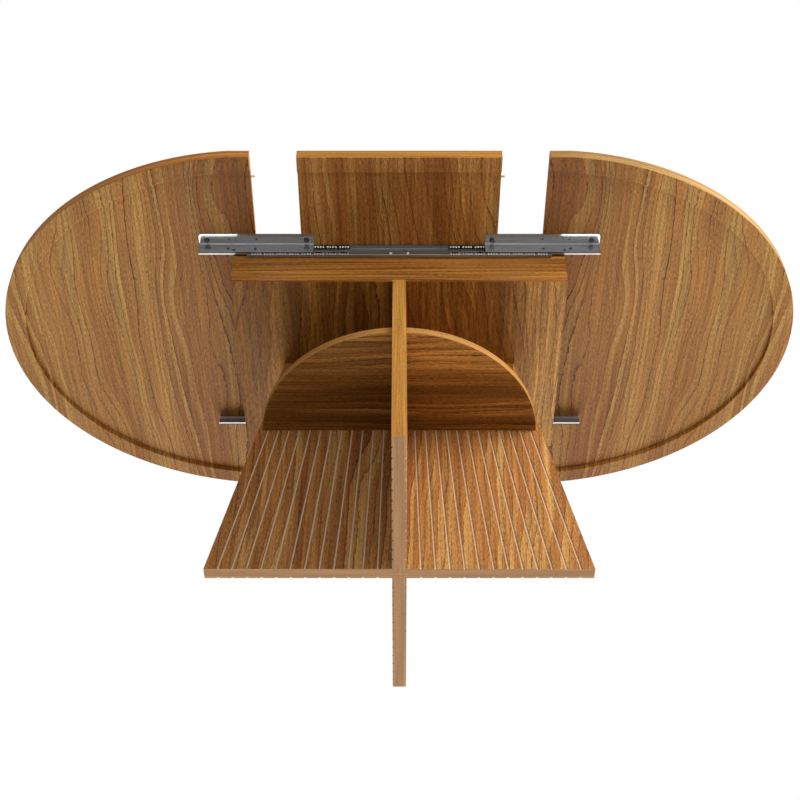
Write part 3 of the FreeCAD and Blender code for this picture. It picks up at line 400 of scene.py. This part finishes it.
# Round shelf: four quarter boards of veneered 17 mm board, dowelled to the spine under the tray.
# Its grain runs from left to right, and golden edge strip is bent round its curved edge.
SHELF_NODES = ("near_left_shelf", "near_right_shelf", "far_left_shelf", "far_right_shelf")
SHELF_LIGHT = (0.419, 0.182, 0.034)
SHELF_MIDDLE = (0.264, 0.101, 0.015)
SHELF_DARK = (0.150, 0.054, 0.007)
SHELF_LINE = (0.097, 0.032, 0.005)
SHELF_COLOURS = (SHELF_LIGHT, SHELF_MIDDLE, SHELF_DARK, SHELF_LINE)
SHELF_FIGURE = {"band_width": 0.014, "wander": 0.16, "seed": 106.5, "fibre": 1.5}
SHELF_PAINTED_LIGHT_TINT = (1.276, 1.320, 1.472)
SHELF_PAINTED_LIGHT_START = 0.09
SHELF_PAINTED_LIGHT_END = 0.19
SHELF_EDGE_LIGHT = (0.367, 0.174, 0.041)
SHELF_EDGE_MIDDLE = (0.319, 0.139, 0.026)
SHELF_EDGE_DARK = (0.256, 0.096, 0.015)
SHELF_EDGE_LINE = (0.199, 0.066, 0.009)
SHELF_EDGE_COLOURS = (SHELF_EDGE_LIGHT, SHELF_EDGE_MIDDLE, SHELF_EDGE_DARK, SHELF_EDGE_LINE)
SHELF_EDGE_FIGURE = {"band_width": 0.006, "wander": 0.004, "seed": 1.7, "stipple": 0.4}

shelf_wood, tree, shader = new_material("shelf_wood")
(x, y, z), (_, _, face_z) = surface(tree)
face = veneer(tree, point(tree, y, x, z), SHELF_COLOURS, **SHELF_FIGURE)
strip = veneer(
    tree, point(tree, z, calc(tree, "ADD", x, y), 0.0), SHELF_EDGE_COLOURS, **SHELF_EDGE_FIGURE)
# Painted light: the shelf faces grow lighter and less saturated away from the wing, where less shade
# falls on them.
painted_light_share = ramp(tree, calc(tree, "ABSOLUTE", y), SHELF_PAINTED_LIGHT_START, SHELF_PAINTED_LIGHT_END)
painted_light_face = tinted(tree, painted_light_share, face["Color"], SHELF_PAINTED_LIGHT_TINT)
colour = mix(tree, facing(tree, face_z), strip["Color"], painted_light_face)
satin(tree, shader, colour, face["Roughness"], face["Height"])
paint(shelf_wood, SHELF_NODES)

# Tray: a veneered board screwed down on the pedestal, its grain fore and aft, with golden front edges.
# Two beams with their grain from left to right are dowelled along it and carry the slides.
TRAY_LIGHT = (0.370, 0.162, 0.026)
TRAY_MIDDLE = (0.261, 0.103, 0.015)
TRAY_DARK = (0.186, 0.064, 0.010)
TRAY_LINE = (0.121, 0.037, 0.006)
TRAY_COLOURS = (TRAY_LIGHT, TRAY_MIDDLE, TRAY_DARK, TRAY_LINE)
TRAY_FIGURE = {"band_width": 0.017, "wander": 0.26, "seed": 48.4, "fibre": 1.2}
TRAY_EDGE_LIGHT = (0.295, 0.114, 0.021)
TRAY_EDGE_MIDDLE = (0.208, 0.074, 0.010)
TRAY_EDGE_DARK = (0.139, 0.043, 0.005)
TRAY_EDGE_LINE = (0.104, 0.029, 0.004)
TRAY_EDGE_COLOURS = (TRAY_EDGE_LIGHT, TRAY_EDGE_MIDDLE, TRAY_EDGE_DARK, TRAY_EDGE_LINE)
TRAY_EDGE_FIGURE = {"band_width": 0.008, "wander": 0.01, "seed": 6.2, "fibre": 1.5, "stipple": 0.4}
TRAY_PAINTED_LIGHT_TINT = (1.550, 1.840, 2.900)
TRAY_PAINTED_LIGHT_START = 0.22
TRAY_PAINTED_LIGHT_END = 0.36
BEAM_LIGHT = (0.430, 0.187, 0.042)
BEAM_MIDDLE = (0.298, 0.118, 0.019)
BEAM_DARK = (0.199, 0.072, 0.010)
BEAM_LINE = (0.150, 0.048, 0.006)
BEAM_COLOURS = (BEAM_LIGHT, BEAM_MIDDLE, BEAM_DARK, BEAM_LINE)
BEAM_FIGURE = {
    "band_width": 0.006, "wander": 0.03, "seed": 9.3, "fibre": 2.0, "stipple": 0.8, "zoning": 0.30}

beam_wood, tree, shader = new_material("beam_wood")
(x, y, z), _ = surface(tree)
grain = veneer(tree, point(tree, calc(tree, "SUBTRACT", z, y), x, 0.0), BEAM_COLOURS, **BEAM_FIGURE)
satin(tree, shader, grain["Color"], grain["Roughness"], grain["Height"])
paint(beam_wood, ("near_rail_beam", "far_rail_beam"))

tray_wood, tree, shader = new_material("tray_board_wood")
(x, y, z), (_, _, face_z) = surface(tree)
face = veneer(tree, point(tree, x, y, z), TRAY_COLOURS, **TRAY_FIGURE)
strip = veneer(
    tree, point(tree, z, calc(tree, "ADD", x, y), 0.0), TRAY_EDGE_COLOURS, **TRAY_EDGE_FIGURE)
# Painted light: the right end of the tray board is made lighter and paler, where the key light from the
# right falls.
painted_light_face = tinted(tree, ramp(tree, x, TRAY_PAINTED_LIGHT_START, TRAY_PAINTED_LIGHT_END), face["Color"], TRAY_PAINTED_LIGHT_TINT)
colour = mix(tree, facing(tree, face_z), strip["Color"], painted_light_face)
satin(tree, shader, colour, face["Roughness"], face["Height"])
paint(tray_wood, ("carrier_board",))

# Ball slides: rolled steel rails screwed to the beams, runners riveted to the brackets, and sheet
# cages between them, all zinc plated, with drawing marks along their length.
RAIL_NODES = ("near_slide_rail", "far_slide_rail")
RUNNER_NODES = ("left_near_runner", "left_far_runner", "right_near_runner", "right_far_runner")
CAGE_NODES = ("left_near_cage", "left_far_cage", "right_near_cage", "right_far_cage")
RAIL_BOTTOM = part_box("near_slide_rail")[0][2]
RAIL_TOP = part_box("near_slide_rail")[1][2]
RAIL_MIDDLE = (RAIL_BOTTOM + RAIL_TOP) / 2
RAIL_HALF_HEIGHT = (RAIL_TOP - RAIL_BOTTOM) / 2
CAGE_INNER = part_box("right_near_cage")[0][0]
CAGE_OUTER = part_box("right_near_cage")[1][0]
CAGE_GROUPS = 7
GROUP_PITCH = (CAGE_OUTER - CAGE_INNER) / CAGE_GROUPS
TRACK_END = CAGE_INNER - GROUP_PITCH
SLIDE_SHEET = 0.0012
# Painted shade: a dark grey for the shade in the hollow of the rails and on the cage flanges; the foot of
# the brackets takes it too.
SHADE_AND_FOOT_DARK = (0.045, 0.043, 0.040)
STEEL_BRIGHT = (0.475, 0.475, 0.484)
STEEL_DULL = (0.279, 0.275, 0.271)
STEEL_MARKS = (9.0, 900.0, 900.0)
STEEL_ROUGH = 0.22
STEEL_ROUGH_SPAN = 0.20
STEEL_METAL_SHARE = 0.88
MARKS_DULL_SHARE = 0.30
MARKS_BRIGHT_SHARE = 0.72


def speckle(tree, place, scales, detail=2.0):
    """Noise at a place whose three values are first multiplied by a scale each."""
    scaled = [calc(tree, "MULTIPLY", value, scale) for value, scale in zip(place, scales)]
    return cloud(tree, point(tree, *scaled), detail)


def plated_steel(
        name, bright, dull, marks_scales, darkened=None, least_rough=STEEL_ROUGH,
        rough_span=STEEL_ROUGH_SPAN, metal_share=STEEL_METAL_SHARE):
    """Plated metal: noise, drawn out along X where it is drawn or rolled, goes from dull to bright.

    Roughness is its least value plus its span times the noise, and where the darkened mask is 1 the
    colour goes to a dark grey: painted shade in the hollows of rails and cages, and a darker foot on the
    brackets.
    """
    material, tree, shader = new_material(name)
    place, face = surface(tree)
    marks = speckle(tree, place, marks_scales, FINE_DETAIL)
    colour = mix(tree, ramp(tree, marks, MARKS_DULL_SHARE, MARKS_BRIGHT_SHARE), dull, bright)
    if darkened:
        colour = mix(tree, darkened(tree, place, face), colour, SHADE_AND_FOOT_DARK)
    tree.links.new(colour, shader.inputs["Base Color"])
    tree.links.new(calc(tree, "MULTIPLY_ADD", marks, rough_span, least_rough), shader.inputs["Roughness"])
    shader.inputs["Metallic"].default_value = metal_share
    return material


def hollow_painted_shade(tree, place, face):
    """1 where shade is painted inside the hollow of the rails along the run of the cages: a height step
    times a length step.
    """
    off_middle = calc(tree, "ABSOLUTE", calc(tree, "SUBTRACT", place[2], RAIL_MIDDLE))
    inside = ramp(tree, off_middle, RAIL_HALF_HEIGHT - SLIDE_SHEET / 2, RAIL_HALF_HEIGHT - SLIDE_SHEET)
    along = ramp(tree, calc(tree, "ABSOLUTE", place[0]), TRACK_END, TRACK_END + SLIDE_SHEET)
    return calc(tree, "MULTIPLY", inside, along)


def flange_painted_shade(tree, place, face):
    """1 where shade is painted on the flanges of the cages, which hold the balls: where the surface faces
    up or down.
    """
    return facing(tree, face[2])


paint(plated_steel("rail_steel", STEEL_BRIGHT, STEEL_DULL, STEEL_MARKS, hollow_painted_shade), RAIL_NODES)
paint(plated_steel("runner_steel", STEEL_BRIGHT, STEEL_DULL, STEEL_MARKS), RUNNER_NODES)
cage_steel = plated_steel("cage_steel", STEEL_BRIGHT, STEEL_DULL, STEEL_MARKS, flange_painted_shade)
paint(cage_steel, CAGE_NODES)

# Balls: polished steel, held in the pockets of the cages, a row above and a row below, and rolling
# between rail and runner.
BALL_NODES = ("left_near_balls", "left_far_balls", "right_near_balls", "right_far_balls")
BALL_BRIGHT = (0.92, 0.92, 0.92)
BALL_DULL = (0.84, 0.84, 0.84)
BALL_MARKS = (300.0, 300.0, 300.0)
BALL_METAL_SHARE = 0.35

ball_steel = plated_steel("ball_steel", BALL_BRIGHT, BALL_DULL, BALL_MARKS, metal_share=BALL_METAL_SHARE)
paint(ball_steel, BALL_NODES)

# Inner ends of the cages: the punched strips run on towards the middle of the rails by one more group
# of pockets and balls, so each end is a copy of its own cage's last group and moves with it.
MERGE_DISTANCE = 0.000001


def next_group(node, side, body, material):
    """The innermost group of a cage or of its balls again, cut off and moved inwards by a group pitch."""
    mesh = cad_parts[node].data.copy()
    mesh.transform(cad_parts[node].matrix_world)
    if "custom_normal" in mesh.attributes:
        mesh.attributes.remove(mesh.attributes["custom_normal"])
    form = bmesh.new()
    form.from_mesh(mesh)
    bmesh.ops.remove_doubles(form, verts=form.verts, dist=MERGE_DISTANCE)
    bmesh.ops.bisect_plane(
        form, geom=form.verts[:] + form.edges[:] + form.faces[:], clear_inner=True,
        plane_co=(side * (CAGE_INNER + GROUP_PITCH), 0.0, 0.0), plane_no=(-side, 0.0, 0.0))
    bmesh.ops.holes_fill(form, edges=[edge for edge in form.edges if edge.is_boundary])
    bmesh.ops.translate(form, verts=form.verts, vec=(-side * GROUP_PITCH, 0.0, 0.0))
    form.to_mesh(mesh)
    form.free()
    mesh.materials.clear()
    mesh.materials.append(material)
    piece = bpy.data.objects.new(node + "_end", mesh)
    bpy.context.scene.collection.objects.link(piece)
    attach(piece, body)


for side_name, side in (("left", -1.0), ("right", 1.0)):
    for row in ("near", "far"):
        body = f"{side_name}_ball_cages"
        next_group(f"{side_name}_{row}_cage", side, body, cage_steel)
        next_group(f"{side_name}_{row}_balls", side, body, ball_steel)

# Stops: small moulded nylon blocks, seated in the hollow of each rail near its middle as stops for
# the cages.
NYLON_PALE = (0.82, 0.81, 0.78)
NYLON_SHADE = (0.70, 0.69, 0.66)
NYLON_MOTTLE = (700.0, 700.0, 700.0)
NYLON_ROUGH = 0.35
NYLON_ROUGH_SPAN = 0.2

stop_nylon, tree, shader = new_material("stop_nylon")
place, _ = surface(tree)
mottle = speckle(tree, place, NYLON_MOTTLE)
tree.links.new(mix(tree, mottle, NYLON_SHADE, NYLON_PALE), shader.inputs["Base Color"])
roughness = calc(tree, "MULTIPLY_ADD", mottle, NYLON_ROUGH_SPAN, NYLON_ROUGH)
tree.links.new(roughness, shader.inputs["Roughness"])
paint(stop_nylon, ("slide_stops",))

# Screws of tray and rails: countersunk steel screws, zinc plated, driven in until their heads are flush
# with what they hold.
ZINC_BRIGHT = (0.60, 0.59, 0.54)
ZINC_DULL = (0.42, 0.41, 0.37)
ZINC_MARKS = (500.0, 500.0, 500.0)

zinc_screws = plated_steel("zinc_screws", ZINC_BRIGHT, ZINC_DULL, ZINC_MARKS)
paint(zinc_screws, ("carrier_screws", "rail_screws"))

# Brackets: bent 2 mm steel angles with rounded free corners, zinc plated, screwed up under the half tops
# and riveted to the runners.
BRACKET_NODES = ("left_near_bracket", "left_far_bracket", "right_near_bracket", "right_far_bracket")
BRACKET_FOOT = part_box("left_near_bracket")[0][2]
BRACKET_BRIGHT = (0.660, 0.660, 0.670)
BRACKET_DULL = (0.480, 0.480, 0.480)
BRACKET_MARKS = (6.0, 600.0, 600.0)
BRACKET_ROUGH = 0.13
BRACKET_ROUGH_SPAN = 0.08


def darker_foot(tree, place, face):
    """1 along the foot of each bracket, which is made darker: lower than its foot plus a skin."""
    return calc(tree, "LESS_THAN", place[2], BRACKET_FOOT + FACE_SKIN)


bracket_steel = plated_steel(
    "bracket_steel", BRACKET_BRIGHT, BRACKET_DULL, BRACKET_MARKS, darker_foot, BRACKET_ROUGH,
    BRACKET_ROUGH_SPAN)
paint(bracket_steel, BRACKET_NODES)

# Bracket screws and rivets: steel blackened by oxide, with a painted highlight in grey on their crowns;
# the screws go up into the tops, and the rivets join brackets and runners.
BLACK_NODES = ("left_bracket_screws", "right_bracket_screws", "left_rivets", "right_rivets")
BLACK_DEEP = (0.012, 0.012, 0.013)
BLACK_WORN = (0.045, 0.044, 0.042)
CROWN_HIGHLIGHT_GREY = (0.11, 0.108, 0.105)
WEAR_SCALES = (900.0, 900.0, 900.0)
WEAR_START_SHARE = 0.4
WEAR_FULL_SHARE = 0.7
CROWN_HIGHLIGHT_START = 0.96
CROWN_HIGHLIGHT_FULL = 0.995
BLACK_ROUGH = 0.30
BLACK_ROUGH_SPAN = 0.2
BLACK_METAL_SHARE = 0.6

black_steel, tree, shader = new_material("black_oxide")
place, (_, face_y, face_z) = surface(tree)
wear = speckle(tree, place, WEAR_SCALES)
square_on = calc(tree, "MAXIMUM", calc(tree, "ABSOLUTE", face_y), calc(tree, "ABSOLUTE", face_z))
colour = mix(tree, ramp(tree, wear, WEAR_START_SHARE, WEAR_FULL_SHARE), BLACK_DEEP, BLACK_WORN)
# Painted highlight: the crowns that face squarely down or sideways go grey.
colour = mix(tree, ramp(tree, square_on, CROWN_HIGHLIGHT_START, CROWN_HIGHLIGHT_FULL), colour, CROWN_HIGHLIGHT_GREY)
tree.links.new(colour, shader.inputs["Base Color"])
roughness = calc(tree, "MULTIPLY_ADD", wear, BLACK_ROUGH_SPAN, BLACK_ROUGH)
tree.links.new(roughness, shader.inputs["Roughness"])
shader.inputs["Metallic"].default_value = BLACK_METAL_SHARE
paint(black_steel, BLACK_NODES)

# Half tops: veneered 15 mm boards with a rim glued under the curved edge, in one run of bookmatched
# veneer whose grain lies fore and aft; golden edge strip is bent round the outside.
TOP_LIGHT = (0.447, 0.240, 0.060)
TOP_MIDDLE = (0.372, 0.165, 0.037)
TOP_DARK = (0.236, 0.080, 0.014)
TOP_LINE = (0.106, 0.032, 0.012)
TOP_COLOURS = (TOP_LIGHT, TOP_MIDDLE, TOP_DARK, TOP_LINE)
TOP_FIGURE = {"band_width": 0.014, "wander": 0.26, "seed": 146.9, "zoning": 0.24}
RIM_LIGHT = (0.476, 0.203, 0.046)
RIM_MIDDLE = (0.414, 0.163, 0.029)
RIM_DARK = (0.332, 0.112, 0.017)
RIM_LINE = (0.260, 0.076, 0.010)
RIM_COLOURS = (RIM_LIGHT, RIM_MIDDLE, RIM_DARK, RIM_LINE)
RIM_FIGURE = {"band_width": 0.007, "wander": 0.004, "seed": 148.4, "stipple": 0.4}
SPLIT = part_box("right_top_panel")[0][0]
TOP_HALF_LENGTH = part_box("right_top_panel")[1][0] - SPLIT
TOP_HALF_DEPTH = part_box("right_top_panel")[1][1]
OUTER_SHARE = 0.96
ARRIS_HIGHLIGHT_GAIN = 0.38
ARRIS_START_SHARE = 0.10
ARRIS_FULL_SHARE = 0.30
ARRIS_FADE_SHARE = 0.93
ARRIS_END_SHARE = 0.99
SPLIT_DARKENING_WIDTH = 0.28
SPLIT_DARKENING_TINT = (0.74, 0.63, 0.60)
SAP_STAIN = (1.15, 1.26, 1.36)
SAP_PLACE = 0.612
SAP_EDGE = 0.004
SAP_WIDTH = 0.075
SAP_SWAY = 0.07
SWAY_SCALE = 2.0
RIGHT_STRIP_SHEEN = (0.66, 0.90, 1.28)
TOP_TINTS = (SPLIT_DARKENING_TINT, SAP_STAIN, RIGHT_STRIP_SHEEN)


def board_veneer(name, across_of, on_outside, colours, figure, strip_colours, strip_figure, tints):
    """Flat board: veneer with the grain along Y, edge strip outside and a painted highlight on the eased
    arrises inside.

    The colour grows darker and redder towards the split, fading out over a width from it. The sap stain
    starts sharply at a place that sways with noise along Y and fades inwards. The strip of the right half
    has a painted sheen of its own, a cooler, less saturated tint.
    """
    split_darkening, sap_stain, right_strip_sheen = tints
    material, tree, shader = new_material(name)
    (x, y, z), (_, _, face_z) = surface(tree)
    face = veneer(tree, point(tree, across_of(tree, x), y, 0.0), colours, **figure)
    strip = veneer(tree, point(tree, z, calc(tree, "ADD", x, y), 0.0), strip_colours, **strip_figure)
    on_edge = calc(tree, "SUBTRACT", 1.0, facing(tree, face_z))
    outside = on_outside(tree, x, y)
    # Darker and redder towards the split, fading out over a width from it.
    toward_split = ramp(tree, calc(tree, "ABSOLUTE", x), SPLIT + SPLIT_DARKENING_WIDTH, SPLIT)
    colour = tinted(tree, toward_split, face["Color"], split_darkening)
    sway = cloud(tree, point(tree, figure["seed"], calc(tree, "MULTIPLY", y, SWAY_SCALE), 0.0))
    streak_place = calc(tree, "MULTIPLY_ADD", calc(tree, "SUBTRACT", sway, 0.5), SAP_SWAY, SAP_PLACE)
    inwards = calc(tree, "SUBTRACT", streak_place, calc(tree, "ABSOLUTE", x))
    sharp_side = ramp(tree, inwards, -SAP_EDGE, SAP_EDGE)
    streak = calc(tree, "MULTIPLY", sharp_side, ramp(tree, inwards, SAP_WIDTH, 0.0))
    colour = tinted(tree, streak, colour, sap_stain)
    # Painted sheen: the edge strip of the right half is tinted cooler and less saturated, as on the side
    # that the key light falls on.
    strip_colour = tinted(tree, calc(tree, "GREATER_THAN", x, 0.0), strip["Color"], right_strip_sheen)
    colour = mix(tree, calc(tree, "MULTIPLY", on_edge, outside), colour, strip_colour)
    # Painted highlight: the eased arrises that are not on the outside are made lighter.
    steep = calc(tree, "ABSOLUTE", face_z)
    leaves_wall = ramp(tree, steep, ARRIS_START_SHARE, ARRIS_FULL_SHARE)
    arris_highlight = calc(tree, "MULTIPLY", leaves_wall, ramp(tree, steep, ARRIS_END_SHARE, ARRIS_FADE_SHARE))
    arris_highlight = calc(tree, "MULTIPLY", arris_highlight, calc(tree, "SUBTRACT", 1.0, outside))
    colour = shaded(tree, colour, calc(tree, "MULTIPLY_ADD", arris_highlight, ARRIS_HIGHLIGHT_GAIN, 1.0))
    satin(tree, shader, colour, face["Roughness"], face["Height"])
    return material


def bookmatched(tree, x):
    """Place across two mirrored sheets of veneer: the distance from the middle."""
    return calc(tree, "ABSOLUTE", x)


def outside_oval(tree, x, y):
    """1 on the outer edge of the half ovals and on their split edges, 0 on the inner wall of the rim.

    The squares of the shares of length and depth add up to about 1 on the oval.
    """
    from_split = calc(tree, "SUBTRACT", calc(tree, "ABSOLUTE", x), SPLIT)
    long_share = calc(tree, "POWER", calc(tree, "DIVIDE", from_split, TOP_HALF_LENGTH), 2.0)
    deep_share = calc(tree, "POWER", calc(tree, "DIVIDE", calc(tree, "ABSOLUTE", y), TOP_HALF_DEPTH), 2.0)
    on_curve = calc(tree, "GREATER_THAN", calc(tree, "ADD", long_share, deep_share), OUTER_SHARE)
    return calc(tree, "MAXIMUM", on_curve, calc(tree, "LESS_THAN", from_split, FACE_SKIN))


top_wood = board_veneer(
    "top_veneer", bookmatched, outside_oval, TOP_COLOURS, TOP_FIGURE, RIM_COLOURS, RIM_FIGURE, TOP_TINTS)
paint(top_wood, ("left_top_panel", "right_top_panel", "left_top_rim", "right_top_rim"))

# Butterfly leaf: two boards of the same veneer that fold together on barrel hinges, with edge strip all
# round and thicker strips glued under their outer ends.
LEAF_LIGHT = (0.479, 0.232, 0.058)
LEAF_MIDDLE = (0.397, 0.155, 0.030)
LEAF_DARK = (0.271, 0.092, 0.016)
LEAF_LINE = (0.181, 0.057, 0.013)
LEAF_COLOURS = (LEAF_LIGHT, LEAF_MIDDLE, LEAF_DARK, LEAF_LINE)
LEAF_FIGURE = {"band_width": 0.015, "wander": 0.22, "seed": 27.5}
LEAF_EDGE_FIGURE = {"band_width": 0.007, "wander": 0.004, "seed": 29.0, "stipple": 0.4}
NO_TINT = (1.0, 1.0, 1.0)
LEAF_TINTS = (NO_TINT, NO_TINT, NO_TINT)
LEAF_HALF_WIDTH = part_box("near_leaf_panel")[1][0]
LEAF_HALF_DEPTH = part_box("far_leaf_panel")[1][1]


def straight(tree, x):
    """Place across one sheet of veneer: the place itself."""
    return x


def outside_leaf(tree, x, y):
    """1 on the four outer edges of the leaf, 0 on the inner edges of its end strips and fold."""
    off_side = calc(tree, "GREATER_THAN", calc(tree, "ABSOLUTE", x), LEAF_HALF_WIDTH - FACE_SKIN)
    off_end = calc(tree, "GREATER_THAN", calc(tree, "ABSOLUTE", y), LEAF_HALF_DEPTH - FACE_SKIN)
    return calc(tree, "MAXIMUM", off_side, off_end)


leaf_wood = board_veneer(
    "leaf_veneer", straight, outside_leaf, LEAF_COLOURS, LEAF_FIGURE, EDGE_COLOURS, LEAF_EDGE_FIGURE,
    LEAF_TINTS)
paint(leaf_wood, ("near_leaf_panel", "far_leaf_panel", "near_leaf_rim", "far_leaf_rim"))

# Pins and hinge barrels: turned brass, pressed into holes in the edges of the boards, where the pins line
# up leaf and tops.
BRASS_NODES = (
    "left_dowel_pins", "near_leaf_pin", "far_leaf_pin", "near_hinge_barrels", "far_hinge_barrels")
BRASS_BRIGHT = (0.83, 0.62, 0.28)
BRASS_DULL = (0.62, 0.42, 0.15)
BRASS_MARKS = (700.0, 60.0, 60.0)

pin_brass = plated_steel("turned_brass", BRASS_BRIGHT, BRASS_DULL, BRASS_MARKS)
paint(pin_brass, BRASS_NODES)

# Hinge links: plain steel arcs that join the barrels across the fold, running in the barrels' slots as
# the leaf opens.
LINK_BRIGHT = (0.50, 0.50, 0.51)
LINK_DULL = (0.34, 0.34, 0.34)
LINK_MARKS = (400.0, 400.0, 400.0)

link_steel = plated_steel("link_steel", LINK_BRIGHT, LINK_DULL, LINK_MARKS)
paint(link_steel, ("hinge_links",))

# Studio: a pale floor that only a view from above sees, soft white light all round, and a broad key
# light from the right. The camera looks up from below the floor, as in the photograph.
FLOOR_HALF_WIDTH = 6.0
FLOOR_DROP = 0.0005
FLOOR_PALE = (0.86, 0.855, 0.845)
FLOOR_SHADE = (0.82, 0.815, 0.805)
FLOOR_PATCHES = (1.5, 1.5, 1.5)
FLOOR_ROUGH = 0.8
FLOOR_SPECULAR = 0.1
LIGHT_WHITE = (1.0, 1.0, 1.0)
SKY_STRENGTH = 0.75
UNDER_STRENGTH = 0.28
SKY_LEVEL = -0.05
UNDER_LEVEL = -0.75
SIDE_SHARE = 0.50
KEY_POWER = 84.0
KEY_WIDTH = 1.5
KEY_PLACE = (1.99, -1.34, 1.04)
KEY_AIM = (0.0, 0.0, 0.35)
FILL_STRENGTH = 0.4
FILL_SPREAD = math.radians(50)
FILL_TURN = math.radians(0)
FILL_RISE = math.radians(12)
BACK_STRENGTH = 2.2
BACK_SPREAD = math.radians(60)
BACK_TURN = math.radians(180)
BACK_RISE = math.radians(42)
CAMERA_PLACE = (0.0, -2.3242, -1.8796)
CAMERA_PITCH = 0.8002
CAMERA_LENS = 64.68
CAMERA_SHIFT = 0.0008
SENSOR_WIDTH = 36.0
CLIP_START = 0.05
CLIP_END = 60.0

floor_mesh = bpy.data.meshes.new("studio_floor")
floor_mesh.from_pydata(
    [(sign_x * FLOOR_HALF_WIDTH, sign_y * FLOOR_HALF_WIDTH, -FLOOR_DROP)
     for sign_x, sign_y in ((-1, -1), (1, -1), (1, 1), (-1, 1))],
    [], [(0, 1, 2, 3)])
floor = bpy.data.objects.new("studio_floor", floor_mesh)
bpy.context.collection.objects.link(floor)
floor_paint, tree, shader = new_material("studio_floor")
(x, y, _), _ = surface(tree)
patch = speckle(tree, (x, y, 0.0), FLOOR_PATCHES)
tree.links.new(mix(tree, patch, FLOOR_SHADE, FLOOR_PALE), shader.inputs["Base Color"])
shader.inputs["Roughness"].default_value = FLOOR_ROUGH
shader.inputs["Specular IOR Level"].default_value = FLOOR_SPECULAR
seen = tree.nodes.new("ShaderNodeLightPath").outputs["Is Camera Ray"]
from_below = tree.nodes.new("ShaderNodeNewGeometry").outputs["Backfacing"]
shown = calc(tree, "MULTIPLY", seen, calc(tree, "SUBTRACT", 1.0, from_below))
clear = tree.nodes.new("ShaderNodeBsdfTransparent")
either = tree.nodes.new("ShaderNodeMixShader")
tree.links.new(shown, either.inputs["Fac"])
tree.links.new(clear.outputs["BSDF"], either.inputs[1])
tree.links.new(shader.outputs["BSDF"], either.inputs[2])
tree.links.new(either.outputs["Shader"], tree.nodes["Material Output"].inputs["Surface"])
floor_mesh.materials.append(floor_paint)

world = bpy.data.worlds.new("studio_light")
bpy.context.scene.world = world
world.use_nodes = True
tree = world.node_tree
background = tree.nodes["Background"]
feed(tree, background.inputs["Color"], LIGHT_WHITE)
seen = tree.nodes.new("ShaderNodeLightPath").outputs["Is Camera Ray"]
sideways, _, height = parts(tree, tree.nodes.new("ShaderNodeTexCoord").outputs["Generated"])
above = ramp(tree, height, UNDER_LEVEL, SKY_LEVEL)
glow = calc(tree, "MULTIPLY_ADD", above, SKY_STRENGTH - UNDER_STRENGTH, UNDER_STRENGTH)
glow = calc(tree, "MULTIPLY", glow, calc(tree, "MULTIPLY_ADD", sideways, SIDE_SHARE, 1.0))
tree.links.new(calc(tree, "MAXIMUM", seen, glow), background.inputs["Strength"])


def far_light(name, strength, spread, turn, rise):
    """Broad far light that shines along +Y, is tipped up by its rise, then turned about Z by its turn."""
    lamp = bpy.data.lights.new(name, "SUN")
    lamp.energy = strength
    lamp.angle = spread
    light = bpy.data.objects.new(name, lamp)
    light.rotation_euler = (math.pi / 2 + rise, 0.0, turn)
    bpy.context.collection.objects.link(light)


softbox = bpy.data.lights.new("key_light", "AREA")
softbox.energy = KEY_POWER
softbox.size = KEY_WIDTH
key_light = bpy.data.objects.new("key_light", softbox)
key_light.location = KEY_PLACE
aim = mathutils.Vector(KEY_AIM) - mathutils.Vector(KEY_PLACE)
key_light.rotation_euler = aim.to_track_quat("-Z", "Y").to_euler()
bpy.context.collection.objects.link(key_light)
far_light("fill_light", FILL_STRENGTH, FILL_SPREAD, FILL_TURN, FILL_RISE)
far_light("back_light", BACK_STRENGTH, BACK_SPREAD, BACK_TURN, BACK_RISE)

lens = bpy.data.cameras.new("photo_view")
lens.lens = CAMERA_LENS
lens.sensor_width = SENSOR_WIDTH
lens.shift_x = CAMERA_SHIFT
lens.clip_start = CLIP_START
lens.clip_end = CLIP_END
camera = bpy.data.objects.new("photo_view", lens)
camera.location = CAMERA_PLACE
camera.rotation_euler = (math.pi / 2 + CAMERA_PITCH, 0.0, 0.0)
bpy.context.collection.objects.link(camera)
bpy.context.scene.camera = camera
bpy.context.scene.view_settings.view_transform = "Standard"
